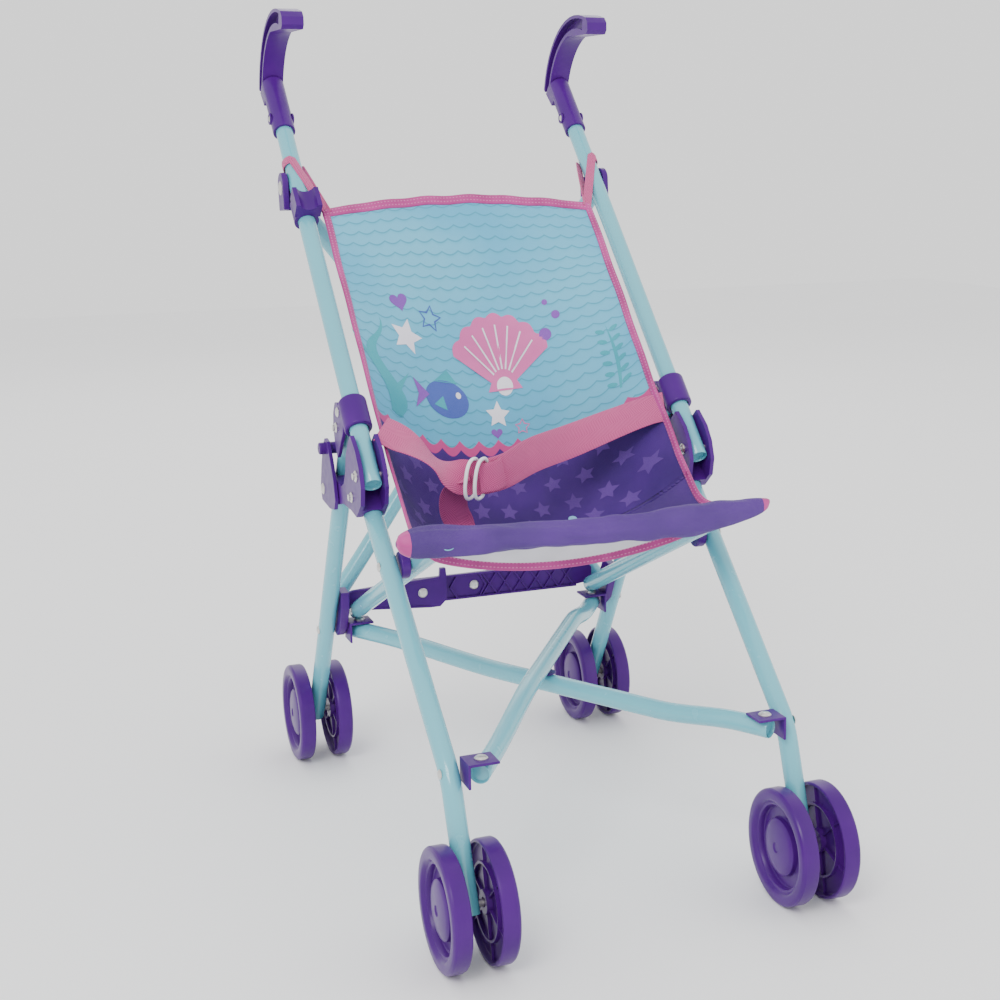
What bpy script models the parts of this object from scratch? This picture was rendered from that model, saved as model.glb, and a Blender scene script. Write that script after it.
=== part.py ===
"""Doll umbrella stroller: a folding tube frame on eight wheels, with a sling seat.

The stroller faces -Y and stands on z = 0. Side views are drawn in (a, b): a is the
distance behind the front axle and b the height, both in millimetres. The handle tubes
tip forward over the knees, and the rear legs, seat rails and crossed braces follow.
"""
import math

import bmesh
import bpy
from mathutils import Matrix, Vector

MM = 0.001
GAP = 0.3
SIDES = (("left", -1), ("right", 1))

# Wheels and axles
WHEEL_RADIUS = 37.5
WHEEL_WIDTH = 11.7
WHEEL_SPACING = 29.5
HUB_BORE = 2.6
AXLE_RADIUS = 2.3
FRONT_AXLE = (0.0, WHEEL_RADIUS)
REAR_AXLE = (370.8, WHEEL_RADIUS)
FRONT_WHEEL_X = 112.0
PIN_HALF = 12.0

# Tubes
TUBE_RADIUS = 6.35
BORE_RADIUS = TUBE_RADIUS + GAP
SIDE_X = 118.0
RAIL_X = 96.0

# Pivots of one side, in (a, b)
KNEE = (172.3, 264.1)
LEG_RIVET = (186.0, 247.4)
RAIL_PIVOT = (142.5, 209.3)
RAIL_END = (316.3, 131.0)
REAR_LEG_PIVOT = (223.0, 288.5)
TOP_PIVOT = (361.5, 433.0)
LEVER_PIVOT = (257.0, 240.0)
FLOOR_PIVOT = (22.0, 110.0)
FLOOR_REAR = (312.8, 116.5)
LEG_TOP = (192.0, 252.8)
LEG_BEND = (27.0, 108.0)
LEG_TOP_X = 117.0
LEG_BEND_X = 113.0
BRACE_FOOT = (338.0, 124.0)

# Handles and grips
HANDLE_LOW = (166.6, 258.4)
HANDLE_HIGH = (412.0, 504.0)
SLEEVE_LOW = (394.8, 486.7)
SLEEVE_HIGH = (431.0, 522.9)
SLEEVE_RADIUS = 8.4
HOOK_CENTRE = (375.0, 503.0)
HOOK_OUTER = 71.5
HOOK_INNER = 58.5
HOOK_WIDTH = 16.0
HOOK_TIP_A = 348.0
HOOK_TIP_LOW = 558.5
HOOK_START = 14.0

# Half of the plastic forks that flank a tube
FORK_HALF = 9.5

# Braces
TOP_BRACE_X = 116.0
FLOOR_BRACE_X = 95.0
TOP_BRACE_BOW = 7.0
FLOOR_BRACE_RISE = 8.6
FLOOR_BRACE_DIP = 5.4
LINK_PIVOT_X = 96.0
LINK_A = (321.2, 326.2, 326.6, 331.6)
LINK_B = 137.5
LINK_HALF = 9.0
LINK_END = 7.0

# Seat
SEAT_HALF = 104.0
FABRIC_THICK = 3.0
BACK_TOP = (334.5, 426.7)
BACK_LOW = (187.0, 285.0)

MIDDLE_A = (HOOK_CENTRE[0] + HOOK_OUTER * math.cos(math.radians(HOOK_START)) - WHEEL_RADIUS) / 2
TUBE_STEPS = 8
ROUND_SIDES = 24
PIN_SIDES = 16
WHEEL_SIDES = 32


def place(x, a, b):
    """World point, in metres, of a side-view point at distance x from the middle."""
    return Vector((x * MM, (a - MIDDLE_A) * MM, b * MM))


def clear_scene():
    for old in list(bpy.data.objects):
        bpy.data.objects.remove(old)


def new_collection(name):
    collection = bpy.data.collections.new(name)
    bpy.context.scene.collection.children.link(collection)
    return collection


def material(name, colour, roughness, metallic=0.0):
    """Plain Principled material."""
    made = bpy.data.materials.new(name)
    made.use_nodes = True
    shader = made.node_tree.nodes["Principled BSDF"]
    shader.inputs["Base Color"].default_value = (*colour, 1.0)
    shader.inputs["Roughness"].default_value = roughness
    shader.inputs["Metallic"].default_value = metallic
    made.diffuse_color = (*colour, 1.0)
    return made


clear_scene()
PARTS = new_collection("doll_stroller")
CUTTERS = new_collection("cutters")
AQUA = material("aqua_paint", (0.32, 0.63, 0.69), 0.3)
PURPLE = material("purple_plastic", (0.16, 0.04, 0.36), 0.4)
STEEL = material("plated_steel", (0.62, 0.6, 0.58), 0.3, 1.0)
PRINT = material("printed_fabric", (0.3, 0.6, 0.75), 0.8)
VIOLET = material("purple_fabric", (0.15, 0.05, 0.3), 0.8)
PINK = material("pink_webbing", (0.75, 0.15, 0.4), 0.8)
PIVOTS = {}


def pivot(name, x, a, b):
    """Empty on a joint's axis, which its moving pieces hang from."""
    empty = bpy.data.objects.new(name + "_pivot", None)
    empty.empty_display_size = 0.01
    empty.location = place(x, a, b)
    PARTS.objects.link(empty)
    PIVOTS[name] = empty
    return empty


def mesh_of(bm, name):
    mesh = bpy.data.meshes.new(name)
    bmesh.ops.recalc_face_normals(bm, faces=bm.faces)
    bm.to_mesh(mesh)
    bm.free()
    return mesh


def curve_mesh(curve, name, matrix=None):
    """Closed mesh of a filled curve, its caps welded on."""
    holder = bpy.data.objects.new(name, curve)
    CUTTERS.objects.link(holder)
    depsgraph = bpy.context.evaluated_depsgraph_get()
    mesh = bpy.data.meshes.new_from_object(holder.evaluated_get(depsgraph))
    bpy.data.objects.remove(holder)
    bm = bmesh.new()
    bm.from_mesh(mesh)
    bmesh.ops.remove_doubles(bm, verts=bm.verts, dist=0.00001)
    if matrix:
        bmesh.ops.transform(bm, matrix=matrix, verts=bm.verts)
    return mesh_of(bm, name)


def tube_mesh(points, radius=TUBE_RADIUS, steps=TUBE_STEPS):
    """Round tube along world points."""
    curve = bpy.data.curves.new("tube", "CURVE")
    curve.dimensions = "3D"
    spline = curve.splines.new("POLY")
    spline.points.add(len(points) - 1)
    for target, point in zip(spline.points, points):
        target.co = (*point, 1.0)
    curve.bevel_depth = radius * MM
    curve.bevel_resolution = steps
    curve.use_fill_caps = True
    return curve_mesh(curve, "tube")


def plate_mesh(outline, x_from, x_to, matrix=None):
    """Flat piece with a side-view outline, filling x_from to x_to."""
    curve = bpy.data.curves.new("plate", "CURVE")
    curve.dimensions = "2D"
    curve.fill_mode = "BOTH"
    curve.extrude = abs(x_to - x_from) / 2 * MM
    spline = curve.splines.new("POLY")
    spline.points.add(len(outline) - 1)
    spline.use_cyclic_u = True
    for target, (a, b) in zip(spline.points, outline):
        target.co = (a * MM, b * MM, 0.0, 1.0)
    stand_up = Matrix(((0, 0, 1, 0), (1, 0, 0, 0), (0, 1, 0, 0), (0, 0, 0, 1)))
    shift = Matrix.Translation(place((x_from + x_to) / 2, 0.0, 0.0))
    return curve_mesh(curve, "plate", matrix or shift @ stand_up)


def round_mesh(start, end, radius, sides=ROUND_SIDES):
    """Solid cylinder between two world points."""
    axis = end - start
    bm = bmesh.new()
    bmesh.ops.create_cone(bm, cap_ends=True, segments=sides, radius1=radius * MM,
                          radius2=radius * MM, depth=axis.length)
    turn = axis.to_track_quat("Z", "Y").to_matrix().to_4x4()
    bmesh.ops.transform(bm, matrix=Matrix.Translation((start + end) / 2) @ turn, verts=bm.verts)
    return mesh_of(bm, "round")


def cross_round_mesh(side, x_from, x_to, at, radius, sides=PIN_SIDES):
    """Cylinder along X through the side-view point `at`."""
    return round_mesh(place(side * x_from, *at), place(side * x_to, *at), radius, sides)


def box_mesh(low, high):
    """Box between two (x, a, b) corners."""
    corner = [min(p, q) for p, q in zip(low, high)]
    size = [abs(p - q) for p, q in zip(low, high)]
    bm = bmesh.new()
    bmesh.ops.create_cube(bm, size=1.0)
    bmesh.ops.scale(bm, vec=[s * MM for s in size], verts=bm.verts)
    middle = [c + s / 2 for c, s in zip(corner, size)]
    bmesh.ops.translate(bm, vec=place(*middle), verts=bm.verts)
    return mesh_of(bm, "box")


def add_object(name, mesh, body, collection):
    """Object that hangs from its body's empty, its mesh given in the world."""
    empty = PIVOTS[body]
    mesh.transform(Matrix.Translation(-empty.location))
    piece = bpy.data.objects.new(name, mesh)
    piece.parent = empty
    collection.objects.link(piece)
    return piece


def node(name, mesh, look, body, add=(), cut=()):
    """One sub-part: a mesh, with other meshes joined to it and cut from it."""
    mesh.shade_smooth()
    mesh.set_sharp_from_angle(angle=math.radians(35))
    piece = add_object(name, mesh, body, PARTS)
    mesh.materials.clear()
    mesh.materials.append(look)
    steps = [("UNION", other) for other in add] + [("DIFFERENCE", other) for other in cut]
    for index, (operation, other) in enumerate(steps):
        tool = add_object(f"{name}_{operation.lower()}_{index}", other, body, CUTTERS)
        tool.display_type = "WIRE"
        tool.hide_render = True
        modifier = piece.modifiers.new(operation.title(), "BOOLEAN")
        modifier.operation = operation
        modifier.object = tool
    return piece


def along(start, end, fraction):
    return tuple(p + (q - p) * fraction for p, q in zip(start, end))


def beyond(start, end, extra):
    """Point past `end`, on the line from `start`."""
    return along(start, end, 1 + extra / math.dist(start, end))


def arc(centre, radius, from_deg, to_deg, steps):
    """Side-view points along a round stretch."""
    points = []
    for step in range(steps + 1):
        angle = math.radians(from_deg + (to_deg - from_deg) * step / steps)
        points.append((centre[0] + radius * math.cos(angle), centre[1] + radius * math.sin(angle)))
    return points


def rounded(points, radius, steps=6):
    """World route with its inner corners rounded."""
    route = [points[0]]
    for before, corner, after in zip(points, points[1:], points[2:]):
        back = (before - corner).normalized()
        ahead = (after - corner).normalized()
        half = back.angle(ahead) / 2
        reach = radius * MM / math.tan(half)
        middle = (back + ahead).normalized()
        centre = corner + middle * (radius * MM / math.sin(half))
        first = (corner + back * reach - centre).normalized()
        last = (corner + ahead * reach - centre).normalized()
        route += [centre + first.slerp(last, step / steps) * radius * MM for step in range(steps + 1)]
    return route + [points[-1]]


def make_wheel(name, x, axle, mesh):
    """One dished wheel on its own pivot, all of them sharing a mesh."""
    pivot(name, x, *axle)
    wheel = bpy.data.objects.new(name, mesh)
    wheel.parent = PIVOTS[name]
    PARTS.objects.link(wheel)
    turn = wheel.modifiers.new("Turn", "SCREW")
    turn.axis = "X"
    turn.steps = WHEEL_SIDES
    turn.render_steps = WHEEL_SIDES
    turn.use_merge_vertices = True
    turn.merge_threshold = 0.00001


def wheel_profile():
    """Half section of the rim, dish and hub, from the tread round to the bore."""
    half = WHEEL_WIDTH / 2
    rim = WHEEL_RADIUS
    section = [(half - 1.2, rim), (half, rim - 4), (half - 2.6, rim - 7), (half - 2.6, HUB_BORE)]
    section = [(-x, r) for x, r in section] + list(reversed(section))
    bm = bmesh.new()
    verts = [bm.verts.new((x * MM, 0.0, r * MM)) for x, r in section]
    for first, second in zip(verts, verts[1:] + verts[:1]):
        bm.edges.new((first, second))
    mesh = bpy.data.meshes.new("wheel")
    bm.to_mesh(mesh)
    bm.free()
    mesh.materials.append(PURPLE)
    return mesh


def make_wheels():
    mesh = wheel_profile()
    for side_name, side in SIDES:
        for end_name, axle, middle in (("front", FRONT_AXLE, FRONT_WHEEL_X), ("rear", REAR_AXLE, SIDE_X)):
            for twin_name, shift in (("outer", 1), ("inner", -1)):
                x = side * (middle + shift * WHEEL_SPACING / 2)
                make_wheel(f"{end_name}_wheel_{side_name}_{twin_name}", x, axle, mesh)
            body = f"{side_name}_{end_name}_leg"
            reach = WHEEL_SPACING / 2 + WHEEL_WIDTH / 2 - 1.5
            pin = cross_round_mesh(side, middle - reach, middle + reach, axle, AXLE_RADIUS)
            node(f"{end_name}_axle_{side_name}", pin, STEEL, body)


def bore(side, at, middle=SIDE_X, radius=AXLE_RADIUS + GAP, half=20.0):
    """Cutter for a cross hole."""
    return cross_round_mesh(side, middle - half, middle + half, at, radius)


def make_handle(side_name, side):
    """Handle tube, with the holes for its knee and rear-leg pivots."""
    body = f"{side_name}_handle"
    x = side * SIDE_X
    tube = tube_mesh([place(x, *HANDLE_LOW), place(x, *HANDLE_HIGH)])
    node(f"handle_tube_{side_name}", tube, AQUA, body, cut=[bore(side, KNEE)])
    make_grip(side_name, side, body)
    make_collar(side_name, side, body)


def make_grip(side_name, side, body):
    """Hooked grip: a round sleeve on the tube that sweeps over into a blunt tip."""
    x = side * SIDE_X
    outline = arc(HOOK_CENTRE, HOOK_OUTER, HOOK_START, 104, 12)
    outline += [(HOOK_TIP_A + 4, 571.0), (HOOK_TIP_A, 567.0), (HOOK_TIP_A, HOOK_TIP_LOW + 3)]
    outline += [(HOOK_TIP_A + 3, HOOK_TIP_LOW)]
    outline += arc(HOOK_CENTRE, HOOK_INNER, 74, 22, 8)
    outline += [(421.0, 512.9), (427.0, 507.1)]
    hook = plate_mesh(outline, x - HOOK_WIDTH / 2, x + HOOK_WIDTH / 2)
    sleeve = round_mesh(place(x, *SLEEVE_LOW), place(x, *SLEEVE_HIGH), SLEEVE_RADIUS)
    below = beyond(SLEEVE_HIGH, SLEEVE_LOW, 5)
    socket = round_mesh(place(x, *below), place(x, HANDLE_HIGH[0] + 1, HANDLE_HIGH[1] + 1), BORE_RADIUS)
    node(f"grip_{side_name}", hook, PURPLE, body, add=[sleeve], cut=[socket])


def make_collar(side_name, side, body):
    """Clamp round the handle, with two cheeks that hold the rear leg's top."""
    x = side * SIDE_X
    outline = [(190.5, 293.5), (204.5, 306.0), (213.0, 315.5), (221.5, 317.0), (229.5, 304.0),
               (234.0, 290.0), (230.0, 281.0), (221.0, 279.0), (211.0, 283.0), (201.0, 287.0)]
    block = plate_mesh(outline, x - FORK_HALF, x + FORK_HALF)
    handle_hole = round_mesh(place(x, 150.0, 241.8), place(x, 280.0, 371.8), BORE_RADIUS)
    slot = box_mesh((x - BORE_RADIUS, 214.0, 270.0), (x + BORE_RADIUS, 245.0, 297.6))
    lower = box_mesh((x - BORE_RADIUS, 196.0, 270.0), (x + BORE_RADIUS, 224.0, 288.0))
    node(f"clamp_collar_{side_name}", block, PURPLE, body,
         cut=[handle_hole, slot, lower, bore(side, REAR_LEG_PIVOT)])


def make_rear_leg(side_name, side):
    """Rear leg tube with its bracket."""
    body = f"{side_name}_rear_leg"
    x = side * SIDE_X
    top = beyond(REAR_AXLE, REAR_LEG_PIVOT, 6)
    foot = beyond(REAR_LEG_PIVOT, REAR_AXLE, 6)
    tube = tube_mesh([place(x, *top), place(x, *foot)])
    node(f"rear_leg_{side_name}", tube, AQUA, body,
         cut=[bore(side, REAR_LEG_PIVOT), bore(side, REAR_AXLE)])
    shank = cross_round_mesh(side, SIDE_X - PIN_HALF, SIDE_X + PIN_HALF, REAR_LEG_PIVOT, AXLE_RADIUS)
    node(f"rear_leg_pin_{side_name}", shank, STEEL, body)
    outline = [(300.0, 150.0), (312.0, 152.0), (325.0, 131.0), (331.0, 124.0), (331.0, 114.0),
               (320.0, 112.0), (309.0, 120.0), (300.0, 138.0)]
    inner = side * (SIDE_X - TUBE_RADIUS - GAP)
    plate = plate_mesh(outline, side * 104.8, inner)
    node(f"rear_bracket_{side_name}", plate, PURPLE, body)


def make_front_leg(side_name, side):
    """Front leg: bent in at the foot, with the knee bracket on its top."""
    body = f"{side_name}_front_leg"
    route = [place(side * LEG_TOP_X, *LEG_TOP), place(side * LEG_BEND_X, *LEG_BEND),
             place(side * FRONT_WHEEL_X, *beyond(LEG_BEND, FRONT_AXLE, 6))]
    tube = tube_mesh(rounded(route, 45.0))
    node(f"front_leg_{side_name}", tube, AQUA, body,
         cut=[bore(side, FRONT_AXLE), bore(side, LEG_RIVET)])
    make_knee_bracket(side_name, side, body)
    for name, at in (("knee_pin", KNEE), ("knee_rivet", LEG_RIVET)):
        shank = cross_round_mesh(side, SIDE_X - PIN_HALF, SIDE_X + PIN_HALF, at, AXLE_RADIUS)
        node(f"{name}_{side_name}", shank, STEEL, body)


def make_knee_bracket(side_name, side, body):
    """Fork that holds the handle's foot, and behind it the rear leg's channel."""
    x = side * SIDE_X
    outline = [(164.0, 247.0), (161.0, 262.0), (167.0, 272.0), (181.0, 288.0), (193.0, 287.0),
               (202.0, 272.0), (203.0, 262.0), (210.0, 254.0), (217.0, 254.0), (229.0, 266.0),
               (241.0, 272.0), (257.0, 266.0), (264.0, 232.0), (252.0, 230.0), (212.0, 240.0),
               (190.0, 240.0), (175.0, 238.0)]
    block = plate_mesh(outline, x - FORK_HALF, x + FORK_HALF)
    lean = math.atan2(LEG_TOP[1] - LEG_BEND[1], LEG_TOP[0] - LEG_BEND[0])
    leg_low = place(side * LEG_BEND_X, *LEG_BEND)
    leg_high = place(side * LEG_TOP_X, *LEG_TOP)
    leg_hole = round_mesh(leg_low, leg_high + (leg_high - leg_low).normalized() * GAP * MM, BORE_RADIUS)
    handle_slot = plate_mesh(lean_box(LEG_RIVET, lean, -60.0, 60.0, 7.5, 70.0),
                             x - BORE_RADIUS, x + BORE_RADIUS)
    leg_lean = math.atan2(REAR_AXLE[1] - REAR_LEG_PIVOT[1], REAR_AXLE[0] - REAR_LEG_PIVOT[0])
    leg_slot = plate_mesh(lean_box(REAR_LEG_PIVOT, leg_lean, -20.0, 90.0, -BORE_RADIUS, 60.0),
                          x - BORE_RADIUS, x + BORE_RADIUS)
    node(f"knee_bracket_{side_name}", block, PURPLE, body,
         cut=[leg_hole, handle_slot, leg_slot, bore(side, KNEE), bore(side, LEG_RIVET)])


def lean_box(origin, lean, start, end, low, high):
    """Outline of a box laid along a leaning line: start to end along it, low to high across."""
    run = (math.cos(lean), math.sin(lean))
    rise = (-run[1], run[0])
    corners = ((start, low), (end, low), (end, high), (start, high))
    return [(origin[0] + s * run[0] + t * rise[0], origin[1] + s * run[1] + t * rise[1])
            for s, t in corners]


def make_lever(side_name, side):
    """Release lever on the outside of the knee bracket, with a finger rod."""
    body = f"{side_name}_lever"
    pivot(body, side * SIDE_X, *LEVER_PIVOT)
    outline = [(252.0, 234.0), (250.0, 246.0), (254.5, 268.0), (259.0, 275.0), (265.0, 272.0),
               (264.5, 246.0), (262.0, 234.0)]
    low = side * (SIDE_X + FORK_HALF + GAP)
    plate = plate_mesh(outline, low, low + side * 2.4)
    rod = cross_round_mesh(side, SIDE_X + FORK_HALF + 0.8, 135.0, (259.5, 269.0), 4.0)
    node(f"release_lever_{side_name}", plate, PURPLE, body, add=[rod])


def make_seat_rail(side_name, side):
    """Straight rail, its spacer on the front leg side."""
    body = f"{side_name}_seat_rail"
    pivot(body, side * RAIL_X, *RAIL_PIVOT)
    x = side * RAIL_X
    front = beyond(RAIL_END, RAIL_PIVOT, 74.0)
    node(f"seat_rail_{side_name}", tube_mesh([place(x, *front), place(x, *RAIL_END)]), AQUA, body)
    spacer = cross_round_mesh(side, RAIL_X + TUBE_RADIUS + GAP, 108.9, RAIL_PIVOT, 9.0, ROUND_SIDES)
    node(f"rail_spacer_{side_name}", spacer, PURPLE, body)


def brace_frame(low, high):
    """Unit vectors of a brace plane in side view: up along it, and out behind it."""
    length = math.dist(low, high)
    up = ((high[0] - low[0]) / length, (high[1] - low[1]) / length)
    return up, (up[1], -up[0]), length


def brace_tube(low, high, x_low, x_high, offset, ends):
    """Crossing tube between two side-view pivots, standing off its plane by offset(t)."""
    up, out, length = brace_frame(low, high)
    steps = 14
    points = []
    for step in range(steps + 1):
        t = ends[0] + (ends[1] - ends[0]) * step / steps
        shift = offset(t)
        points.append(place(x_low + (x_high - x_low) * t,
                            low[0] + up[0] * length * t + out[0] * shift,
                            low[1] + up[1] * length * t + out[1] * shift))
    return tube_mesh(points)


def make_top_bracket(side_name, side):
    """Angle piece that hangs an upper brace on the outside of the handle."""
    body = f"{side_name}_top_bracket"
    x = side * SIDE_X
    pivot(body, x, *TOP_PIVOT)
    lean = math.atan2(TOP_PIVOT[1] - BRACE_FOOT[1], TOP_PIVOT[0] - BRACE_FOOT[0])
    ear = plate_mesh(lean_box(TOP_PIVOT, lean, 2.0, 26.0, -16.0, 8.0), side * 125.0, side * 128.6)
    rear = plate_mesh(lean_box(TOP_PIVOT, lean, -8.0, 9.0, -10.0, -7.0), side * 106.0, side * 127.0)
    node(f"top_bracket_{side_name}", ear, PURPLE, body, add=[rear])


def bow(t):
    """Smooth bump that is 1 in the middle of a brace and 0 near its ends."""
    return math.sin(math.pi * min(max((t - 0.08) / 0.84, 0.0), 1.0)) ** 2


def make_top_braces():
    """The two crossed tubes behind the seat."""
    middle = along(BRACE_FOOT, TOP_PIVOT, 0.5)
    for name, side, stand in (("front", -1, -1), ("back", 1, 1)):
        body = f"top_brace_{name}"
        pivot(body, side * TOP_BRACE_X if name == "front" else 0.0,
              *(TOP_PIVOT if name == "front" else middle))
        tube = brace_tube(BRACE_FOOT, TOP_PIVOT, -side * TOP_BRACE_X, side * TOP_BRACE_X,
                          lambda t: stand * TOP_BRACE_BOW * bow(t), (-0.015, 1.012))
        node(f"top_brace_{name}", tube, AQUA, body)


def floor_bend(t):
    """Bend of the floor braces: 0 at the ends, 1 where they cross, and a short ramp at the rear."""
    return min(1.0, max(0.0, (t - 0.06) / 0.34), max(0.0, (0.95 - t) / 0.18))


def make_floor_braces():
    """The two crossed tubes near the floor, one humped over the other."""
    middle = along(FLOOR_PIVOT, FLOOR_REAR, 0.5)
    pivot("floor_brace_upper", -FLOOR_BRACE_X, *FLOOR_PIVOT)
    upper = brace_tube(FLOOR_PIVOT, FLOOR_REAR, -FLOOR_BRACE_X, FLOOR_BRACE_X,
                       lambda t: -FLOOR_BRACE_RISE * floor_bend(t), (-0.012, 1.012))
    node("floor_brace_upper", upper, AQUA, "floor_brace_upper")
    pivot("floor_brace_lower", 0.0, *middle)
    lower = brace_tube(FLOOR_PIVOT, FLOOR_REAR, FLOOR_BRACE_X, -FLOOR_BRACE_X,
                       lambda t: FLOOR_BRACE_DIP * floor_bend(1 - t), (-0.012, 1.012))
    node("floor_brace_lower", lower, AQUA, "floor_brace_lower")
    lower_top = middle[1] - FLOOR_BRACE_DIP + TUBE_RADIUS + GAP
    upper_bottom = middle[1] + FLOOR_BRACE_RISE - TUBE_RADIUS - GAP
    spacer = round_mesh(place(0.0, middle[0], lower_top), place(0.0, middle[0], upper_bottom), 8.0)
    node("brace_spacer", spacer, PURPLE, "floor_brace_lower")


def make_floor_bracket(side_name, side, end_name, at, leg_x):
    """Angle bracket that holds an end of a floor brace to its leg."""
    body = f"{side_name}_{end_name}_bracket"
    pivot(body, side * FLOOR_BRACE_X, *at)
    top = at[1] + TUBE_RADIUS + GAP
    thick = 1.6
    wall = box_mesh((side * (leg_x - thick), at[0] - 9, at[1] - 7), (side * leg_x, at[0] + 9, top + thick))
    shelf = box_mesh((side * 86.0, at[0] - 9, top), (side * (leg_x - 0.5), at[0] + 9, top + thick))
    node(f"floor_bracket_{end_name}_{side_name}", shelf, PURPLE, body, add=[wall])


def make_lock_links():
    """The two links of the spreader bar between the rear legs, one behind the other."""
    for index, (side_name, side) in enumerate(SIDES):
        body = f"{side_name}_lock_link"
        near, far = LINK_A[2 * index], LINK_A[2 * index + 1]
        pivot(body, side * LINK_PIVOT_X, (near + far) / 2, LINK_B)
        shoulder = LINK_PIVOT_X - 12.0
        outline = arc((LINK_PIVOT_X, LINK_B), LINK_END, 90, -90, 8) + [(shoulder, LINK_B - LINK_HALF)]
        outline += arc((0.0, LINK_B), LINK_HALF, 270, 90, 10) + [(shoulder, LINK_B + LINK_HALF)]
        outline = [(side * x, b) for x, b in outline]
        face_front = Matrix(((1, 0, 0, 0), (0, 0, -1, 0), (0, 1, 0, 0), (0, 0, 0, 1)))
        shift = Matrix.Translation(place(0.0, (near + far) / 2, 0.0))
        node(f"lock_link_{side_name}", plate_mesh(outline, near, far, shift @ face_front), PURPLE, body)


def sheet_mesh(shape, across, down, thick=FABRIC_THICK):
    """Closed solid of a curved sheet, shape(u, v) giving a world point for u, v in 0..1."""
    bm = bmesh.new()
    rows = [[bm.verts.new(shape(i / across, j / down)) for i in range(across + 1)]
            for j in range(down + 1)]
    for upper, lower in zip(rows, rows[1:]):
        for i in range(across):
            bm.faces.new((upper[i], upper[i + 1], lower[i + 1], lower[i]))
    bmesh.ops.recalc_face_normals(bm, faces=bm.faces)
    bmesh.ops.solidify(bm, geom=bm.faces, thickness=thick * MM)
    return mesh_of(bm, "sheet")


def dip(u):
    """How far a sheet sinks across its width: flat over the rails, deepest in the middle."""
    across = (2 * u - 1) / 0.84
    return max(0.0, 1 - across * across) ** 0.8


def back_point(u, v):
    edge = along(BACK_TOP, BACK_LOW, v)
    middle = along((337.0, 430.0), (214.5, 214.0), v)
    sag = 16 * math.sin(math.pi * v)
    middle = (middle[0] + sag * 0.5, middle[1] - sag * 0.5)
    a, b = along(edge, middle, dip(u))
    return place((2 * u - 1) * SEAT_HALF, a, b)


def pan_point(u, v):
    front, over_rail, rear = (64.0, 254.5), (133.0, 229.0), (184.0, 280.0)
    edge = along(front, over_rail, v / 0.6) if v < 0.6 else along(over_rail, rear, (v - 0.6) / 0.4)
    middle = along((64.0, 247.0), (209.0, 209.0), v)
    a, b = along(edge, middle, dip(u))
    return place((2 * u - 1) * SEAT_HALF, a, b)


def belt_point(u, v):
    across = 2 * u - 1
    sag = 1 - across * across
    return place(across * (SEAT_HALF - 3), 179.0 - 4 * sag, 301.0 - 40 * sag - 17 * v)


def strap_point(u, v):
    return place(-48.0 + 17.0 * u, 181.0 - 30.0 * v, 238.0 - 6.0 * v)


def make_seat():
    """Plain solids of the soft parts."""
    node("seat_back", sheet_mesh(back_point, 12, 8), PRINT, "left_handle")
    node("seat_pan", sheet_mesh(pan_point, 12, 10), VIOLET, "left_seat_rail")
    node("lap_belt", sheet_mesh(belt_point, 10, 1, 1.5), PINK, "left_handle")
    node("crotch_strap", sheet_mesh(strap_point, 1, 4, 1.5), PINK, "left_seat_rail")


def handle_point(distance):
    """Side-view point at a distance up the handle from the knee's level."""
    return along(HANDLE_LOW, HANDLE_HIGH, distance / math.dist(HANDLE_LOW, HANDLE_HIGH))


def make_handle_fittings():
    """Webbing loop on each handle, and the storage clip on the left one."""
    for side_name, side in SIDES:
        x = side * SIDE_X
        loop = round_mesh(place(x, *handle_point(290.0)), place(x, *handle_point(298.0)), 8.0)
        hole = round_mesh(place(x, *handle_point(280.0)), place(x, *handle_point(308.0)), BORE_RADIUS)
        node(f"seat_loop_{side_name}", loop, PINK, f"{side_name}_handle", cut=[hole])
    x = -SIDE_X
    low, high = handle_point(232.0), handle_point(250.0)
    ring = round_mesh(place(x, *low), place(x, *high), 9.0)
    saddle = plate_mesh(lean_box(low, math.pi / 4, 0.0, 18.0, 5.0, 17.0), x - FORK_HALF, x + FORK_HALF)
    hole = round_mesh(place(x, *handle_point(215.0)), place(x, *handle_point(262.0)), BORE_RADIUS)
    notch_low, notch_high = ((p[0] - 13.4, p[1] + 13.4) for p in (handle_point(215.0), handle_point(262.0)))
    notch = round_mesh(place(x, *notch_low), place(x, *notch_high), BORE_RADIUS)
    node("storage_clip", ring, PURPLE, "left_handle", add=[saddle], cut=[hole, notch])


def make_side(side_name, side):
    pivot(f"{side_name}_front_leg", side * SIDE_X, *KNEE)
    pivot(f"{side_name}_handle", side * SIDE_X, *KNEE)
    pivot(f"{side_name}_rear_leg", side * SIDE_X, *REAR_LEG_PIVOT)
    make_front_leg(side_name, side)
    make_handle(side_name, side)
    make_rear_leg(side_name, side)
    make_lever(side_name, side)
    make_seat_rail(side_name, side)
    make_top_bracket(side_name, side)
    make_floor_bracket(side_name, side, "front", FLOOR_PIVOT, 105.8)
    make_floor_bracket(side_name, side, "rear", FLOOR_REAR, 104.4)


for one_name, one_side in SIDES:
    make_side(one_name, one_side)
make_wheels()
make_top_braces()
make_floor_braces()
make_lock_links()
make_handle_fittings()
make_seat()
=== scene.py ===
import math
import random

import bmesh
import bpy
from mathutils import Matrix, Vector, geometry, noise


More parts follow.
